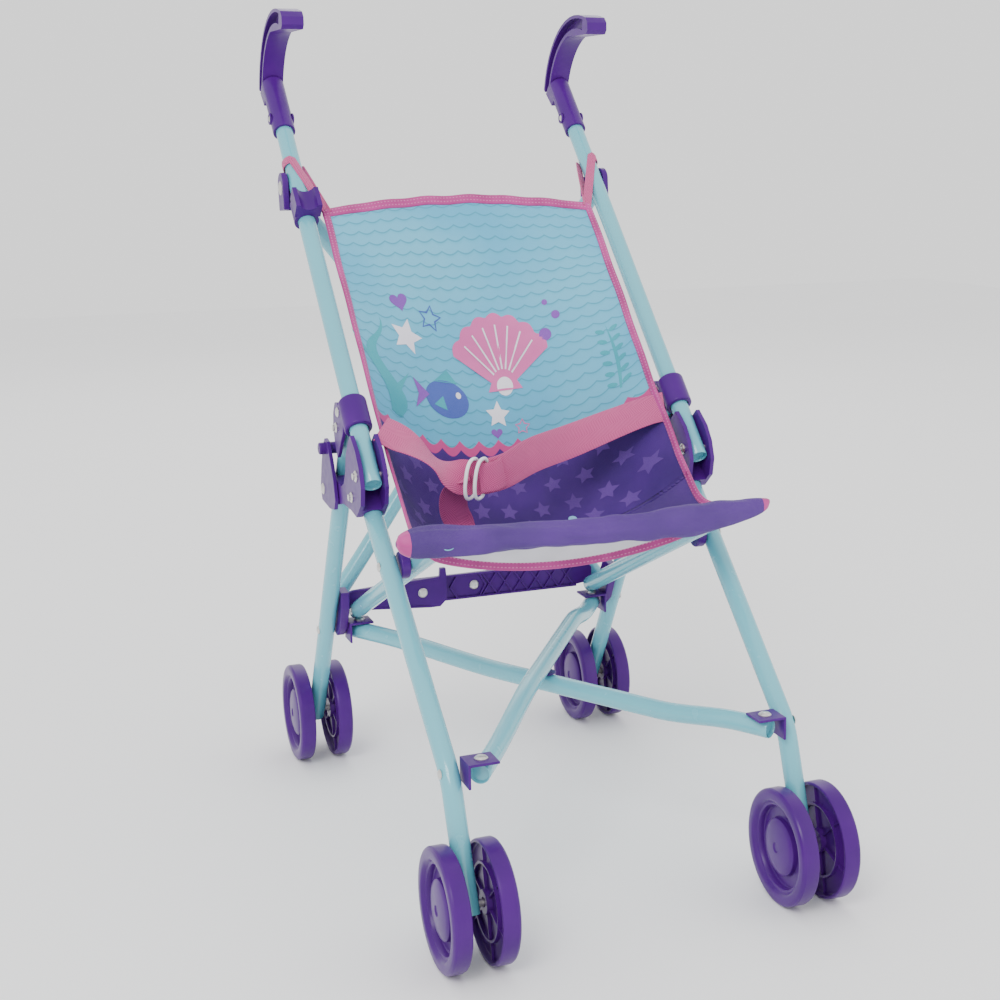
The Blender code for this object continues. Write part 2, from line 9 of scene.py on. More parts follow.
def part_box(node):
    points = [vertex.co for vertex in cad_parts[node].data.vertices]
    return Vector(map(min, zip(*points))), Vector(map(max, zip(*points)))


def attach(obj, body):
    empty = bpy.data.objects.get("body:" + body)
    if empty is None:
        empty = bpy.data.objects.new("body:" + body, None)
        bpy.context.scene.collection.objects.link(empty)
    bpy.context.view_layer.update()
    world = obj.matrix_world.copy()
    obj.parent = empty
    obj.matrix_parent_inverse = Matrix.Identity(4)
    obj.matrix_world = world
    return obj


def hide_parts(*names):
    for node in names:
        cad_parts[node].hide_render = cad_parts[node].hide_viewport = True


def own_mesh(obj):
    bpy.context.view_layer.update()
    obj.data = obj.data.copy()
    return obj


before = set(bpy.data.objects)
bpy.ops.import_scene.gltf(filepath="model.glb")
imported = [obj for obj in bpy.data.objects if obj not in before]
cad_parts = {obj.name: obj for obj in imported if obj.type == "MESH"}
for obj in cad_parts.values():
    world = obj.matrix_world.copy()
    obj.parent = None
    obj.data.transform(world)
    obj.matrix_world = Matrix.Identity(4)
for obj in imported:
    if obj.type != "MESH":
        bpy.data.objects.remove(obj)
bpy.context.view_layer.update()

MM = 0.001
SIDES = (("left", -1), ("right", 1))
AXLE_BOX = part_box("front_axle_left")
AXLE_Y = (AXLE_BOX[0].y + AXLE_BOX[1].y) / 2 / MM

# Driving dimensions, as in the frame
TUBE_RADIUS = 6.35
SIDE_X = 118.0
RAIL_X = 96.0
FORK_HALF = 9.5
WHEEL_RADIUS = 37.5
WHEEL_SPACING = 29.5
WHEEL_MIDDLE = {"front": (112.0, 0.0), "rear": (118.0, 370.8)}
KNEE = (172.3, 264.1)
LEG_RIVET = (186.0, 247.4)
REAR_LEG_PIVOT = (223.0, 288.5)
REAR_AXLE = (370.8, 37.5)
FRONT_AXLE = (0.0, 37.5)
LEG_TOP = (192.0, 252.8)
LEG_BEND = (27.0, 108.0)
LEG_TOP_X = 117.0
LEG_BEND_X = 113.0
RAIL_PIVOT = (142.5, 209.3)
RAIL_END = (316.3, 131.0)
TOP_PIVOT = (361.5, 433.0)
FLOOR_PIVOT = (22.0, 110.0)
FLOOR_REAR = (312.8, 116.5)
BRACE_FOOT = (338.0, 124.0)
LEVER_PIVOT = (257.0, 240.0)
BORE = TUBE_RADIUS + 0.3
LOCK_LEVEL = 137.5
HANDLE_LOW = (166.6, 258.4)
HANDLE_HIGH = (412.0, 504.0)
SLEEVE_LOW = (394.8, 486.7)
SLEEVE_HIGH = (431.0, 522.9)
HOOK_CENTRE = (375.0, 503.0)
TOP_BRACE_X = 116.0
FLOOR_BRACE_X = 95.0

# Seat sheet: distance down its edge, half width, edge (a, b), middle (a, b)
SEAT_ROWS = (
    (0.0, 105.0, 333.0, 429.0, 343.0, 437.0),
    (50.0, 105.0, 298.0, 394.0, 318.0, 388.0),
    (105.0, 104.5, 259.0, 355.0, 290.0, 331.0),
    (170.0, 104.0, 214.0, 308.0, 257.0, 265.0),
    (215.0, 104.0, 181.0, 277.0, 236.0, 225.0),
    (245.0, 103.5, 158.0, 256.0, 213.0, 205.0),
    (275.0, 104.0, 134.0, 238.0, 174.0, 200.0),
    (300.0, 108.0, 110.0, 236.0, 134.0, 207.0),
    (325.0, 113.0, 88.0, 240.0, 96.0, 226.0),
)
WAVE_PITCH = 8.2
WAVE_WIDTH = 12.5
CREASE = 252.0
OVERLAP = 2.0
BORDER = 172.0
CLOTH_THICK = 0.7
SLEEVE_AXIS = (80.0, 239.0)
SLEEVE_END = 127.0
POCKET_X = 119.5
HEM_FROM, HEM_TO = -100.0, 78.0
BELT_WIDTH = 24.0
STRAP_WIDTH = 20.0
WEBBING_THICK = 1.3
RING_LEVEL = 257.5
RING_WIRE = 1.25
PRINTED_HEARTS = ((-28.0, 194.0), (-42.0, 236.0), (40.0, 241.0))
MOULDED_EDGE = 34.0


def place(x, a, b):
    """World point of a side-view point."""
    return Vector((x * MM, (a + AXLE_Y) * MM, b * MM))


def along(start, end, fraction):
    """Side-view point part of the way from start to end."""
    return tuple(p + (q - p) * fraction for p, q in zip(start, end))


def beyond(start, end, extra):
    """Point past `end`, on the line from `start`."""
    return along(start, end, 1 + extra / math.dist(start, end))


def through(before, start, end, after, t):
    """Value at t on the smooth curve from start to end, its slope set by the points around."""
    return 0.5 * (2 * start + (end - before) * t + (2 * before - 5 * start + 4 * end - after) * t * t
                  + (3 * start - before - 3 * end + after) * t ** 3)


def smooth(value, low, high):
    """0 below low, 1 above high, and a smooth step between."""
    t = min(max((value - low) / (high - low), 0.0), 1.0)
    return t * t * (3 - 2 * t)


# ---------------------------------------------------------------- materials

class Look:
    """A Principled material with short calls for the nodes that feed it."""

    def __init__(self, name, roughness=0.5, metallic=0.0):
        self.material = bpy.data.materials.new(name)
        self.material.use_nodes = True
        self.tree = self.material.node_tree
        self.shader = self.tree.nodes["Principled BSDF"]
        self.shader.inputs["Roughness"].default_value = roughness
        self.shader.inputs["Metallic"].default_value = metallic

    def link(self, source, target):
        if hasattr(source, "is_linked"):
            self.tree.links.new(source, target)
        else:
            target.default_value = source

    def math(self, operation, *values):
        node = self.tree.nodes.new("ShaderNodeMath")
        node.operation = operation
        for value, socket in zip(values, node.inputs):
            self.link(value, socket)
        return node.outputs[0]

    def step(self, value, low, high):
        node = self.tree.nodes.new("ShaderNodeMapRange")
        node.interpolation_type = "SMOOTHSTEP"
        for name, number in (("Value", value), ("From Min", low), ("From Max", high)):
            self.link(number, node.inputs[name])
        return node.outputs[0]

    def noise(self, scale, detail=2.0, vector=None):
        node = self.tree.nodes.new("ShaderNodeTexNoise")
        node.inputs["Scale"].default_value = scale
        node.inputs["Detail"].default_value = detail
        self.link(vector or self.place(), node.inputs["Vector"])
        return node.outputs["Fac"]

    def place(self):
        return self.tree.nodes.new("ShaderNodeTexCoord").outputs["Object"]

    def uv(self):
        """U and V of the mesh, which are millimetres of cloth."""
        split = self.tree.nodes.new("ShaderNodeSeparateXYZ")
        coordinates = self.tree.nodes.new("ShaderNodeTexCoord").outputs["UV"]
        self.tree.links.new(coordinates, split.inputs[0])
        return split.outputs[0], split.outputs[1]

    def mix(self, factor, first, second):
        node = self.tree.nodes.new("ShaderNodeMix")
        node.data_type = "RGBA"
        self.link(factor, node.inputs["Factor"])
        for value, socket in ((first, node.inputs[6]), (second, node.inputs[7])):
            self.link((*value, 1.0) if isinstance(value, tuple) else value, socket)
        return node.outputs[2]

    def colour(self, value):
        self.link(value, self.shader.inputs["Base Color"])

    def rough(self, value, low, high):
        node = self.tree.nodes.new("ShaderNodeMapRange")
        self.link(value, node.inputs["Value"])
        node.inputs["To Min"].default_value = low
        node.inputs["To Max"].default_value = high
        self.tree.links.new(node.outputs[0], self.shader.inputs["Roughness"])

    def bump(self, height, distance, strength=1.0):
        node = self.tree.nodes.new("ShaderNodeBump")
        node.inputs["Strength"].default_value = strength
        node.inputs["Distance"].default_value = distance
        self.link(height, node.inputs["Height"])
        before = self.shader.inputs["Normal"].links
        if before:
            self.tree.links.new(before[0].from_socket, node.inputs["Normal"])
        self.tree.links.new(node.outputs[0], self.shader.inputs["Normal"])

    def set(self, **values):
        for name, value in values.items():
            self.shader.inputs[name.replace("_", " ")].default_value = value
        return self.material


def painted_tube():
    """Aqua gloss paint with a faint orange-peel surface."""
    look = Look("aqua_gloss_paint")
    cloud = look.noise(14.0, 3.0)
    look.colour(look.mix(look.step(cloud, 0.2, 0.8), (0.125, 0.44, 0.53), (0.14, 0.475, 0.56)))
    look.rough(look.noise(120.0), 0.22, 0.3)
    look.bump(look.noise(260.0, 1.0), 0.00002, 0.12)
    return look.set(Coat_Weight=0.5, Coat_Roughness=0.08)


def moulded_plastic(name, dark, light, low=0.26, high=0.42):
    """Satin moulded plastic with a fine grain, its roughness from low to high."""
    look = Look(name)
    cloud = look.noise(30.0, 3.0)
    look.colour(look.mix(look.step(cloud, 0.3, 0.7), dark, light))
    look.rough(look.noise(160.0), low, high)
    look.bump(look.noise(1400.0, 3.0), 0.00003, 0.5)
    return look.set(Coat_Weight=0.03, Coat_Roughness=0.2, Specular_IOR_Level=0.25)


def plated_steel():
    """Dull plated steel of the rivets and pins."""
    look = Look("plated_rivet_steel", 0.3, 1.0)
    cloud = look.noise(500.0, 4.0)
    look.colour(look.mix(cloud, (0.52, 0.50, 0.47), (0.80, 0.79, 0.77)))
    look.rough(look.noise(900.0), 0.2, 0.42)
    look.bump(look.noise(1500.0), 0.00002, 0.4)
    return look.material


def weave(look, pitch=0.55):
    """Plain weave from two sets of threads, with a cloudy unevenness."""
    u, v = look.uv()
    threads = []
    for value in (u, v):
        turn = look.math("MULTIPLY", value, 2 * math.pi / pitch)
        threads.append(look.math("SINE", turn))
    height = look.math("MULTIPLY", *threads)
    look.bump(height, 0.00006, 0.35)
    look.bump(look.noise(60.0, 3.0), 0.0012, 0.25)
    look.rough(look.noise(90.0), 0.62, 0.82)
    look.set(Sheen_Weight=0.06, Sheen_Roughness=0.5, Specular_IOR_Level=0.3)
    return u, v, height


def cloth(name, dark, light):
    """Woven cloth that drifts between two tones."""
    look = Look(name)
    height = weave(look)[2]
    tone = look.mix(look.step(look.noise(18.0, 4.0), 0.3, 0.7), dark, light)
    # Raised thread crowns are mixed towards white by the weave height: a painted highlight on the weave.
    look.colour(look.mix(look.math("MULTIPLY", height, 0.12), tone, (0.9, 0.85, 0.95)))
    return look.material


def printed_cloth():
    """Light blue field of scalloped water lines, a pink scalloped border and purple below."""
    look = Look("printed_polyester")
    u, v, height = weave(look)
    wobble = look.math("MULTIPLY", look.noise(22.0, 1.0), 3.0)
    down = look.math("ADD", v, wobble)
    row = look.math("FLOOR", look.math("DIVIDE", down, WAVE_PITCH))
    shift = look.math("MULTIPLY", look.math("MODULO", row, 2.0), WAVE_WIDTH / 2)
    arc_turn = look.math("MULTIPLY", look.math("ADD", u, shift), math.pi / WAVE_WIDTH)
    hang = look.math("MULTIPLY", look.math("ABSOLUTE", look.math("SINE", arc_turn)), 2.3)
    below = look.math("SUBTRACT", look.math("SUBTRACT", down, look.math("MULTIPLY", row, WAVE_PITCH)), hang)
    line = look.step(look.math("ABSOLUTE", look.math("SUBTRACT", below, 1.0)), 0.75, 0.2)
    shade = look.step(below, 0.8, 4.5)
    shade = look.math("MULTIPLY", look.step(below, 0.6, 1.2), look.math("SUBTRACT", 1.0, shade))
    field = look.mix(look.step(look.noise(9.0, 2.0), 0.35, 0.7), (0.085, 0.40, 0.62), (0.13, 0.47, 0.66))
    field = look.mix(look.math("MULTIPLY", shade, 0.4), field, (0.06, 0.36, 0.50))
    field = look.mix(look.math("MULTIPLY", line, 0.7), field, (0.03, 0.25, 0.37))
    scallop_turn = look.math("MULTIPLY", u, math.pi / 15.0)
    scallop = look.math("MULTIPLY", look.math("ABSOLUTE", look.math("SINE", scallop_turn)), 4.4)
    edge = look.math("SUBTRACT", look.math("SUBTRACT", v, BORDER - 2), scallop)
    lower = look.math("SUBTRACT", edge, 5.4)
    cloud = look.step(look.noise(25.0, 3.0), 0.3, 0.7)
    purple = look.mix(cloud, (0.040, 0.006, 0.145), (0.062, 0.011, 0.195))
    colour = look.mix(look.step(edge, -0.25, 0.25), field, (0.55, 0.05, 0.23))
    colour = look.mix(look.step(lower, -0.25, 0.25), colour, purple)
    # Raised thread crowns are mixed towards white by the weave height: a painted highlight on the weave.
    look.colour(look.mix(look.math("MULTIPLY", height, 0.05), colour, (0.9, 0.9, 0.95)))
    return look.material


def webbing():
    """Herringbone webbing: slanted ribs that turn back three times across the width."""
    look = Look("pink_herringbone_webbing")
    u, v = look.uv()
    across = look.math("PINGPONG", look.math("ADD", v, 21.0), 7.0)
    turn = look.math("MULTIPLY", look.math("ADD", u, across), 2 * math.pi / 1.5)
    rib = look.math("ADD", look.math("MULTIPLY", look.math("SINE", turn), 0.5), 0.5)
    thread = look.math("MULTIPLY", look.math("SINE", look.math("MULTIPLY", v, 9.0)), 0.3)
    # The colour follows the ribs' height: painted shade in the grooves and a painted highlight on the crowns.
    tone = look.mix(rib, (0.36, 0.03, 0.15), (0.70, 0.11, 0.31))
    look.colour(look.mix(look.step(look.noise(40.0, 3.0), 0.5, 1.0), tone, (0.58, 0.08, 0.25)))
    look.bump(look.math("ADD", rib, thread), 0.00025, 0.8)
    look.rough(look.noise(120.0), 0.6, 0.8)
    return look.set(Sheen_Weight=0.2)


def binding_tape():
    """Folded ribbon with fine cross ribs and a row of stitches along each edge."""
    look = Look("pink_binding_tape")
    u, v = look.uv()
    ribs = look.math("SINE", look.math("MULTIPLY", u, 2 * math.pi / 0.8))
    stitch = look.step(look.math("SINE", look.math("MULTIPLY", u, 2 * math.pi / 2.6)), -0.2, 0.3)
    near = look.step(look.math("ABSOLUTE", look.math("SUBTRACT", look.math("ABSOLUTE", v), 1.4)), 0.5, 0.15)
    thread = look.math("MULTIPLY", stitch, near)
    tone = look.mix(look.step(look.noise(45.0, 3.0), 0.3, 0.75), (0.34, 0.016, 0.17), (0.48, 0.035, 0.25))
    look.colour(look.mix(look.math("MULTIPLY", thread, 0.6), tone, (0.75, 0.22, 0.48)))
    look.bump(look.math("MULTIPLY", ribs, 0.3), 0.00012, 0.5)
    look.bump(thread, 0.0003, 0.6)
    look.rough(look.noise(120.0), 0.45, 0.65)
    return look.set(Sheen_Weight=0.2)


def floor_look():
    """Plain pale floor."""
    look = Look("pale_floor", 0.8)
    look.colour(look.mix(look.noise(3.0), (0.93, 0.93, 0.935), (0.96, 0.96, 0.965)))
    return look.material


PAINT = painted_tube()
PLASTIC = moulded_plastic("purple_moulded_plastic", (0.052, 0.0015, 0.150), (0.068, 0.003, 0.180))
WHEEL = moulded_plastic("purple_wheel_plastic", (0.050, 0.0015, 0.138), (0.064, 0.003, 0.165), 0.26, 0.38)
RING = moulded_plastic("white_ring_plastic", (0.78, 0.78, 0.82), (0.88, 0.88, 0.90))
STEEL = plated_steel()
PRINT = printed_cloth()
VIOLET = cloth("purple_polyester", (0.036, 0.005, 0.13), (0.066, 0.012, 0.20))
LINING = cloth("white_lining", (0.62, 0.61, 0.66), (0.78, 0.77, 0.82))
TAPE = binding_tape()
WEBBING = webbing()
INKS = {
    "white": cloth("white_ink_cloth", (0.74, 0.70, 0.80), (0.84, 0.82, 0.88)),
    "purple": cloth("purple_ink_cloth", (0.18, 0.04, 0.37), (0.23, 0.06, 0.43)),
    "navy": cloth("navy_ink_cloth", (0.035, 0.07, 0.36), (0.05, 0.10, 0.42)),
    "teal": cloth("teal_ink_cloth", (0.012, 0.30, 0.38), (0.03, 0.37, 0.44)),
    "pink": cloth("pink_ink_cloth", (0.60, 0.10, 0.33), (0.70, 0.14, 0.39)),
    "blue": cloth("blue_ink_cloth", (0.22, 0.52, 0.74), (0.30, 0.60, 0.80)),
    "tonal": cloth("tonal_ink_cloth", (0.085, 0.022, 0.235), (0.115, 0.034, 0.29)),
}


# ---------------------------------------------------------------- building

def finish_piece(name, bm, looks, body, replaced=(), sharp=40.0):
    """Puts a bmesh in the scene as a piece that rides on a body."""
    mesh = bpy.data.meshes.new(name)
    bm.to_mesh(mesh)
    bm.free()
    mesh.shade_smooth()
    mesh.set_sharp_from_angle(angle=math.radians(sharp))
    for look in looks if isinstance(looks, (list, tuple)) else [looks]:
        mesh.materials.append(look)
    piece = bpy.data.objects.new(name, mesh)
    bpy.context.scene.collection.objects.link(piece)
    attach(piece, body)
    if replaced:
        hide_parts(*replaced)
    return piece


def bevelled(piece, width, segments=3):
    """Rounds the sharp edges of a piece."""
    modifier = piece.modifiers.new("Edges", "BEVEL")
    modifier.width = width * MM
    modifier.segments = segments
    modifier.limit_method = "ANGLE"
    modifier.angle_limit = math.radians(28)
    modifier.harden_normals = True
    return piece


def frames_along(points):
    """Tangent and two crosswise directions at each point, turned as little as possible."""
    result = []
    normal = None
    for i in range(len(points)):
        tangent = (points[min(i + 1, len(points) - 1)] - points[max(i - 1, 0)]).normalized()
        if normal is None:
            normal = tangent.orthogonal().normalized()
        normal = (normal - tangent * normal.dot(tangent)).normalized()
        result.append((tangent, normal, tangent.cross(normal)))
    return result


def loft(bm, rings, cap=True, closed=False):
    """Quads between rings of world points, with end caps."""
    rows = [[bm.verts.new(point) for point in ring] for ring in rings]
    pairs = list(zip(rows, rows[1:])) + ([(rows[-1], rows[0])] if closed else [])
    for first, second in pairs:
        for i in range(len(first)):
            j = (i + 1) % len(first)
            bm.faces.new((first[i], first[j], second[j], second[i]))
    if cap and not closed:
        bm.faces.new(list(reversed(rows[0])))
        bm.faces.new(rows[-1])
    return rows


def tube_rings(points, radius, sides=32, lip=True):
    """Rings of a tube whose ends turn in to a plug."""
    frames = frames_along(points)
    stations = [(i, 0.0, 1.0) for i in range(1, len(points) - 1)]
    if lip:
        front = [(0, 2.6, 0.0), (0, 2.6, 0.84), (0, 0.5, 0.88), (0, 0.0, 0.92), (0, 0.0, 0.96), (0, 0.4, 1.0)]
    else:
        front = [(0, 0.0, 0.9), (0, 0.5, 1.0)]
    back = [(len(points) - 1, -inward, share) for _, inward, share in reversed(front)]
    rings = []
    for i, inward, share in front[1 if lip else 0:] + stations + back[:-1 if lip else None]:
        tangent, normal, other = frames[i]
        centre = points[i] + tangent * inward * MM
        rings.append([centre + (normal * math.cos(t) + other * math.sin(t)) * radius * share * MM
                      for t in (2 * math.pi * k / sides for k in range(sides))])
    return rings


def make_tube(name, points, body, replaced=None):
    """Painted tube with plugged ends, in place of the frame's plain one."""
    bm = bmesh.new()
    loft(bm, tube_rings(points, TUBE_RADIUS))
    bmesh.ops.recalc_face_normals(bm, faces=bm.faces)
    return finish_piece(name + "_paint", bm, PAINT, body, [replaced or name], 50.0)


def straight(start, end, steps=24):
    """Evenly spaced points on a line."""
    return [start + (end - start) * i / steps for i in range(steps + 1)]


def rounded(points, radius, steps=14):
    """World route with its inner corners rounded."""
    route = [points[0]]
    for before, corner, after in zip(points, points[1:], points[2:]):
        back = (before - corner).normalized()
        ahead = (after - corner).normalized()
        half = back.angle(ahead) / 2
        reach = radius * MM / math.tan(half)
        middle = (back + ahead).normalized()
        centre = corner + middle * (radius * MM / math.sin(half))
        first = (corner + back * reach - centre).normalized()
        last = (corner + ahead * reach - centre).normalized()
        route += [centre + first.slerp(last, step / steps) * radius * MM for step in range(steps + 1)]
    return route + [points[-1]]


def lathe(bm, profile, origin, axis, sides=48):
    """Turned solid: profile of (distance along the axis, radius), closed on the axis."""
    turn = axis.to_track_quat("Z", "Y").to_matrix()
    rows = []
    for height, radius in profile:
        ring = []
        for k in range(sides):
            t = 2 * math.pi * k / sides
            local = Vector((radius * math.cos(t), radius * math.sin(t), height)) * MM
            ring.append(bm.verts.new(origin + turn @ local))
        rows.append(ring)
    for first, second in zip(rows, rows[1:] + rows[:1]):
        for k in range(sides):
            j = (k + 1) % sides
            bm.faces.new((first[k], first[j], second[j], second[k]))
    return rows


def dome(bm, origin, axis, radius, height):
    """Rivet head: a flat rim and a low dome."""
    turn = axis.to_track_quat("Z", "Y").to_matrix()
    profile = [(0.0, radius), (height * 0.25, radius)]
    profile += [(height * (0.35 + 0.65 * math.sin(t)), radius * 0.9 * math.cos(t))
                for t in (math.radians(d) for d in (5, 25, 45, 65, 80))]
    rows = []
    for rise, ring_radius in profile:
        rows.append([bm.verts.new(origin + turn @ (Vector((ring_radius * math.cos(k * math.pi / 12),
                                                           ring_radius * math.sin(k * math.pi / 12),
                                                           rise)) * MM)) for k in range(24)])
    for first, second in zip(rows, rows[1:]):
        for k in range(24):
            j = (k + 1) % 24
            bm.faces.new((first[k], first[j], second[j], second[k]))
    bm.faces.new(list(reversed(rows[0])))
    bm.faces.new(rows[-1])


def moulding(node, bm, body, width, segments=3):
    """Purple plastic piece with rounded edges that stands for a CAD node."""
    piece = finish_piece(node + "_moulding", bm, PLASTIC, body, [node], MOULDED_EDGE)
    return bevelled(piece, width, segments)


def rivets(name, body, heads):
    """Steel heads on a body, each an (origin, axis, radius, height)."""
    bm = bmesh.new()
    for head in heads:
        dome(bm, *head)
    finish_piece(name, bm, STEEL, body)


# ---------------------------------------------------------------- tubes

def brace_points(low, high, x_low, x_high, offset, ends):
    """Route of a crossing tube that stands off its plane by offset(t)."""
    length = math.dist(low, high)
    up = ((high[0] - low[0]) / length, (high[1] - low[1]) / length)
    steps = 48
    points = []
    for step in range(steps + 1):
        t = ends[0] + (ends[1] - ends[0]) * step / steps
        points.append(place(x_low + (x_high - x_low) * t,
                            low[0] + up[0] * length * t + up[1] * offset(t),
                            low[1] + up[1] * length * t - up[0] * offset(t)))
    return points


def bow(t):
    """Smooth bump that is 1 in the middle of a brace and 0 near its ends."""
    return math.sin(math.pi * min(max((t - 0.08) / 0.84, 0.0), 1.0)) ** 2


def floor_bend(t):
    """Bend of the floor braces: 0 at the ends and 1 where they cross."""
    raw = min(1.0, max(0.0, (t - 0.06) / 0.34), max(0.0, (0.95 - t) / 0.18))
    return raw * raw * (3 - 2 * raw)


def make_side_tubes(name, side):
    """Handle, rear leg, front leg and seat rail of one side."""
    x = side * SIDE_X
    handle = straight(place(x, *HANDLE_LOW), place(x, *HANDLE_HIGH))
    make_tube(f"handle_tube_{name}", handle, f"{name}_handle")
    top = beyond(REAR_AXLE, REAR_LEG_PIVOT, 6)
    foot = beyond(REAR_LEG_PIVOT, REAR_AXLE, 6)
    make_tube(f"rear_leg_{name}", straight(place(x, *top), place(x, *foot)), f"{name}_rear_leg")
    route = [place(side * LEG_TOP_X, *LEG_TOP), place(side * LEG_BEND_X, *LEG_BEND),
             place(side * WHEEL_MIDDLE["front"][0], *beyond(LEG_BEND, FRONT_AXLE, 6))]
    make_tube(f"front_leg_{name}", rounded(route, 45.0), f"{name}_front_leg")
    front = beyond(RAIL_END, RAIL_PIVOT, 74.0)
    rail = straight(place(side * RAIL_X, *front), place(side * RAIL_X, *RAIL_END))
    make_tube(f"seat_rail_{name}", rail, f"{name}_seat_rail")


def make_braces():
    """The crossed tubes behind the seat and near the floor."""
    for name, side, stand in (("front", -1, -7.0), ("back", 1, 7.0)):
        points = brace_points(BRACE_FOOT, TOP_PIVOT, -side * TOP_BRACE_X, side * TOP_BRACE_X,
                              lambda t: stand * bow(t), (0.012, 1.012))
        make_tube(f"top_brace_{name}", points, f"top_brace_{name}")
    upper = brace_points(FLOOR_PIVOT, FLOOR_REAR, -FLOOR_BRACE_X, FLOOR_BRACE_X,
                         lambda t: -8.6 * floor_bend(t), (-0.012, 1.012))
    make_tube("floor_brace_upper", upper, "floor_brace_upper")
    lower = brace_points(FLOOR_PIVOT, FLOOR_REAR, FLOOR_BRACE_X, -FLOOR_BRACE_X,
                         lambda t: 5.4 * floor_bend(1 - t), (-0.012, 1.012))
    make_tube("floor_brace_lower", lower, "floor_brace_lower")


# ---------------------------------------------------------------- wheels

def wheel_profile():
    """Section round the wheel, from the open face's hub to the leg side's hub."""
    r = WHEEL_RADIUS
    face = [(4.4, 0.02), (4.4, 2.9), (4.7, 3.2), (5.1, 3.6), (5.1, 5.0), (4.7, 10.0), (4.1, 14.5),
            (3.3, 17.4), (2.6, 18.2), (-0.6, 18.6), (-1.0, 19.2), (-1.0, 25.4), (-0.4, 26.0), (2.6, 26.6),
            (3.1, 27.0), (3.3, 28.4), (3.9, 29.0), (5.2, 29.8), (5.7, 30.6), (5.85, 31.8), (5.85, 34.8),
            (5.6, 35.8), (4.9, 36.9), (3.8, r)]
    back = [(-3.9, r), (-5.2, 37.1), (-5.75, 36.5), (-5.85, 35.9), (-5.7, 35.2), (-4.9, 34.9), (-2.4, 34.6),
            (-2.1, 34.2), (-2.1, 24.6), (-2.3, 24.2), (-4.6, 24.0), (-4.8, 23.6), (-4.6, 22.4), (-2.4, 22.2),
            (-2.3, 8.0), (-5.4, 7.6), (-5.7, 7.2), (-5.7, 3.3), (-5.4, 3.0), (4.0, 2.9), (4.0, 0.02)]
    return face + back


def make_wheel(side_name, side, end, twin, shift):
    """Moulded wheel: a dished face away from the leg and a ribbed hollow beside it."""
    name = f"{end}_wheel_{side_name}_{twin}"
    middle, a = WHEEL_MIDDLE[end]
    outward = side * shift
    origin = place(side * (middle + shift * WHEEL_SPACING / 2), a, WHEEL_RADIUS)
    axis = Vector((outward, 0, 0))
    bm = bmesh.new()
    lathe(bm, wheel_profile(), origin, axis, 96)
    turn = axis.to_track_quat("Z", "Y").to_matrix()
    for k in range(6):
        angle = math.pi / 3 * k + 0.3
        along_rib = Vector((math.cos(angle), math.sin(angle), 0))
        across = Vector((-math.sin(angle), math.cos(angle), 0))
        for inner, outer, top in ((7.0, 23.0, -4.2), (23.5, 34.9, -3.6)):
            rings = []
            for reach in (inner, outer):
                ring = [along_rib * reach + across * sign * 0.6 + Vector((0, 0, height))
                        for sign, height in ((-1, -2.0), (1, -2.0), (0.8, top), (-0.8, top))]
                rings.append([origin + turn @ (point * MM) for point in ring])
            loft(bm, rings)
    bmesh.ops.recalc_face_normals(bm, faces=bm.faces)
    finish_piece(name + "_moulding", bm, WHEEL, name, [name], 28.0)


# ---------------------------------------------------------------- plastic fittings

def plate(bm, outline, x_from, x_to):
    """Flat piece with a side-view outline, filling x_from to x_to."""
    near = [bm.verts.new(place(x_from, a, b)) for a, b in outline]
    far = [bm.verts.new(place(x_to, a, b)) for a, b in outline]
    bm.faces.new(list(reversed(near)))
    bm.faces.new(far)
    for i in range(len(outline)):
        j = (i + 1) % len(outline)
        bm.faces.new((near[i], near[j], far[j], far[i]))
    bmesh.ops.recalc_face_normals(bm, faces=bm.faces)


def arc(centre, radius, from_deg, to_deg, steps):
    """Side-view points along a round stretch."""
    points = []
    for step in range(steps + 1):
        angle = math.radians(from_deg + (to_deg - from_deg) * step / steps)
        points.append((centre[0] + radius * math.cos(angle), centre[1] + radius * math.sin(angle)))
    return points


def temporary(bm, name):
    """Object that isn't a piece: a cutter, a blank to be cut, or the floor."""
    mesh = bpy.data.meshes.new(name)
    bm.to_mesh(mesh)
    bm.free()
    item = bpy.data.objects.new(name, mesh)
    bpy.context.scene.collection.objects.link(item)
    return item


def node_copy(name):
    """Mesh of a CAD node, its flat regions merged so that edges can be rounded."""
    bm = bmesh.new()
    bm.from_mesh(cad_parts[name].data)
    bmesh.ops.remove_doubles(bm, verts=bm.verts, dist=0.00002)
    bmesh.ops.dissolve_limit(bm, angle_limit=math.radians(2), verts=bm.verts, edges=bm.edges)
    return bm


def carve(piece, cutters):
    """Cuts, then removes, the cutters and keeps the result as the piece's mesh."""
    for cutter in cutters:
        modifier = piece.modifiers.new("Cut", "BOOLEAN")
        modifier.operation = "DIFFERENCE"
        modifier.object = cutter
    depsgraph = bpy.context.evaluated_depsgraph_get()
    mesh = bpy.data.meshes.new_from_object(piece.evaluated_get(depsgraph))
    piece.modifiers.clear()
    piece.data = mesh
    for cutter in cutters:
        bpy.data.objects.remove(cutter)


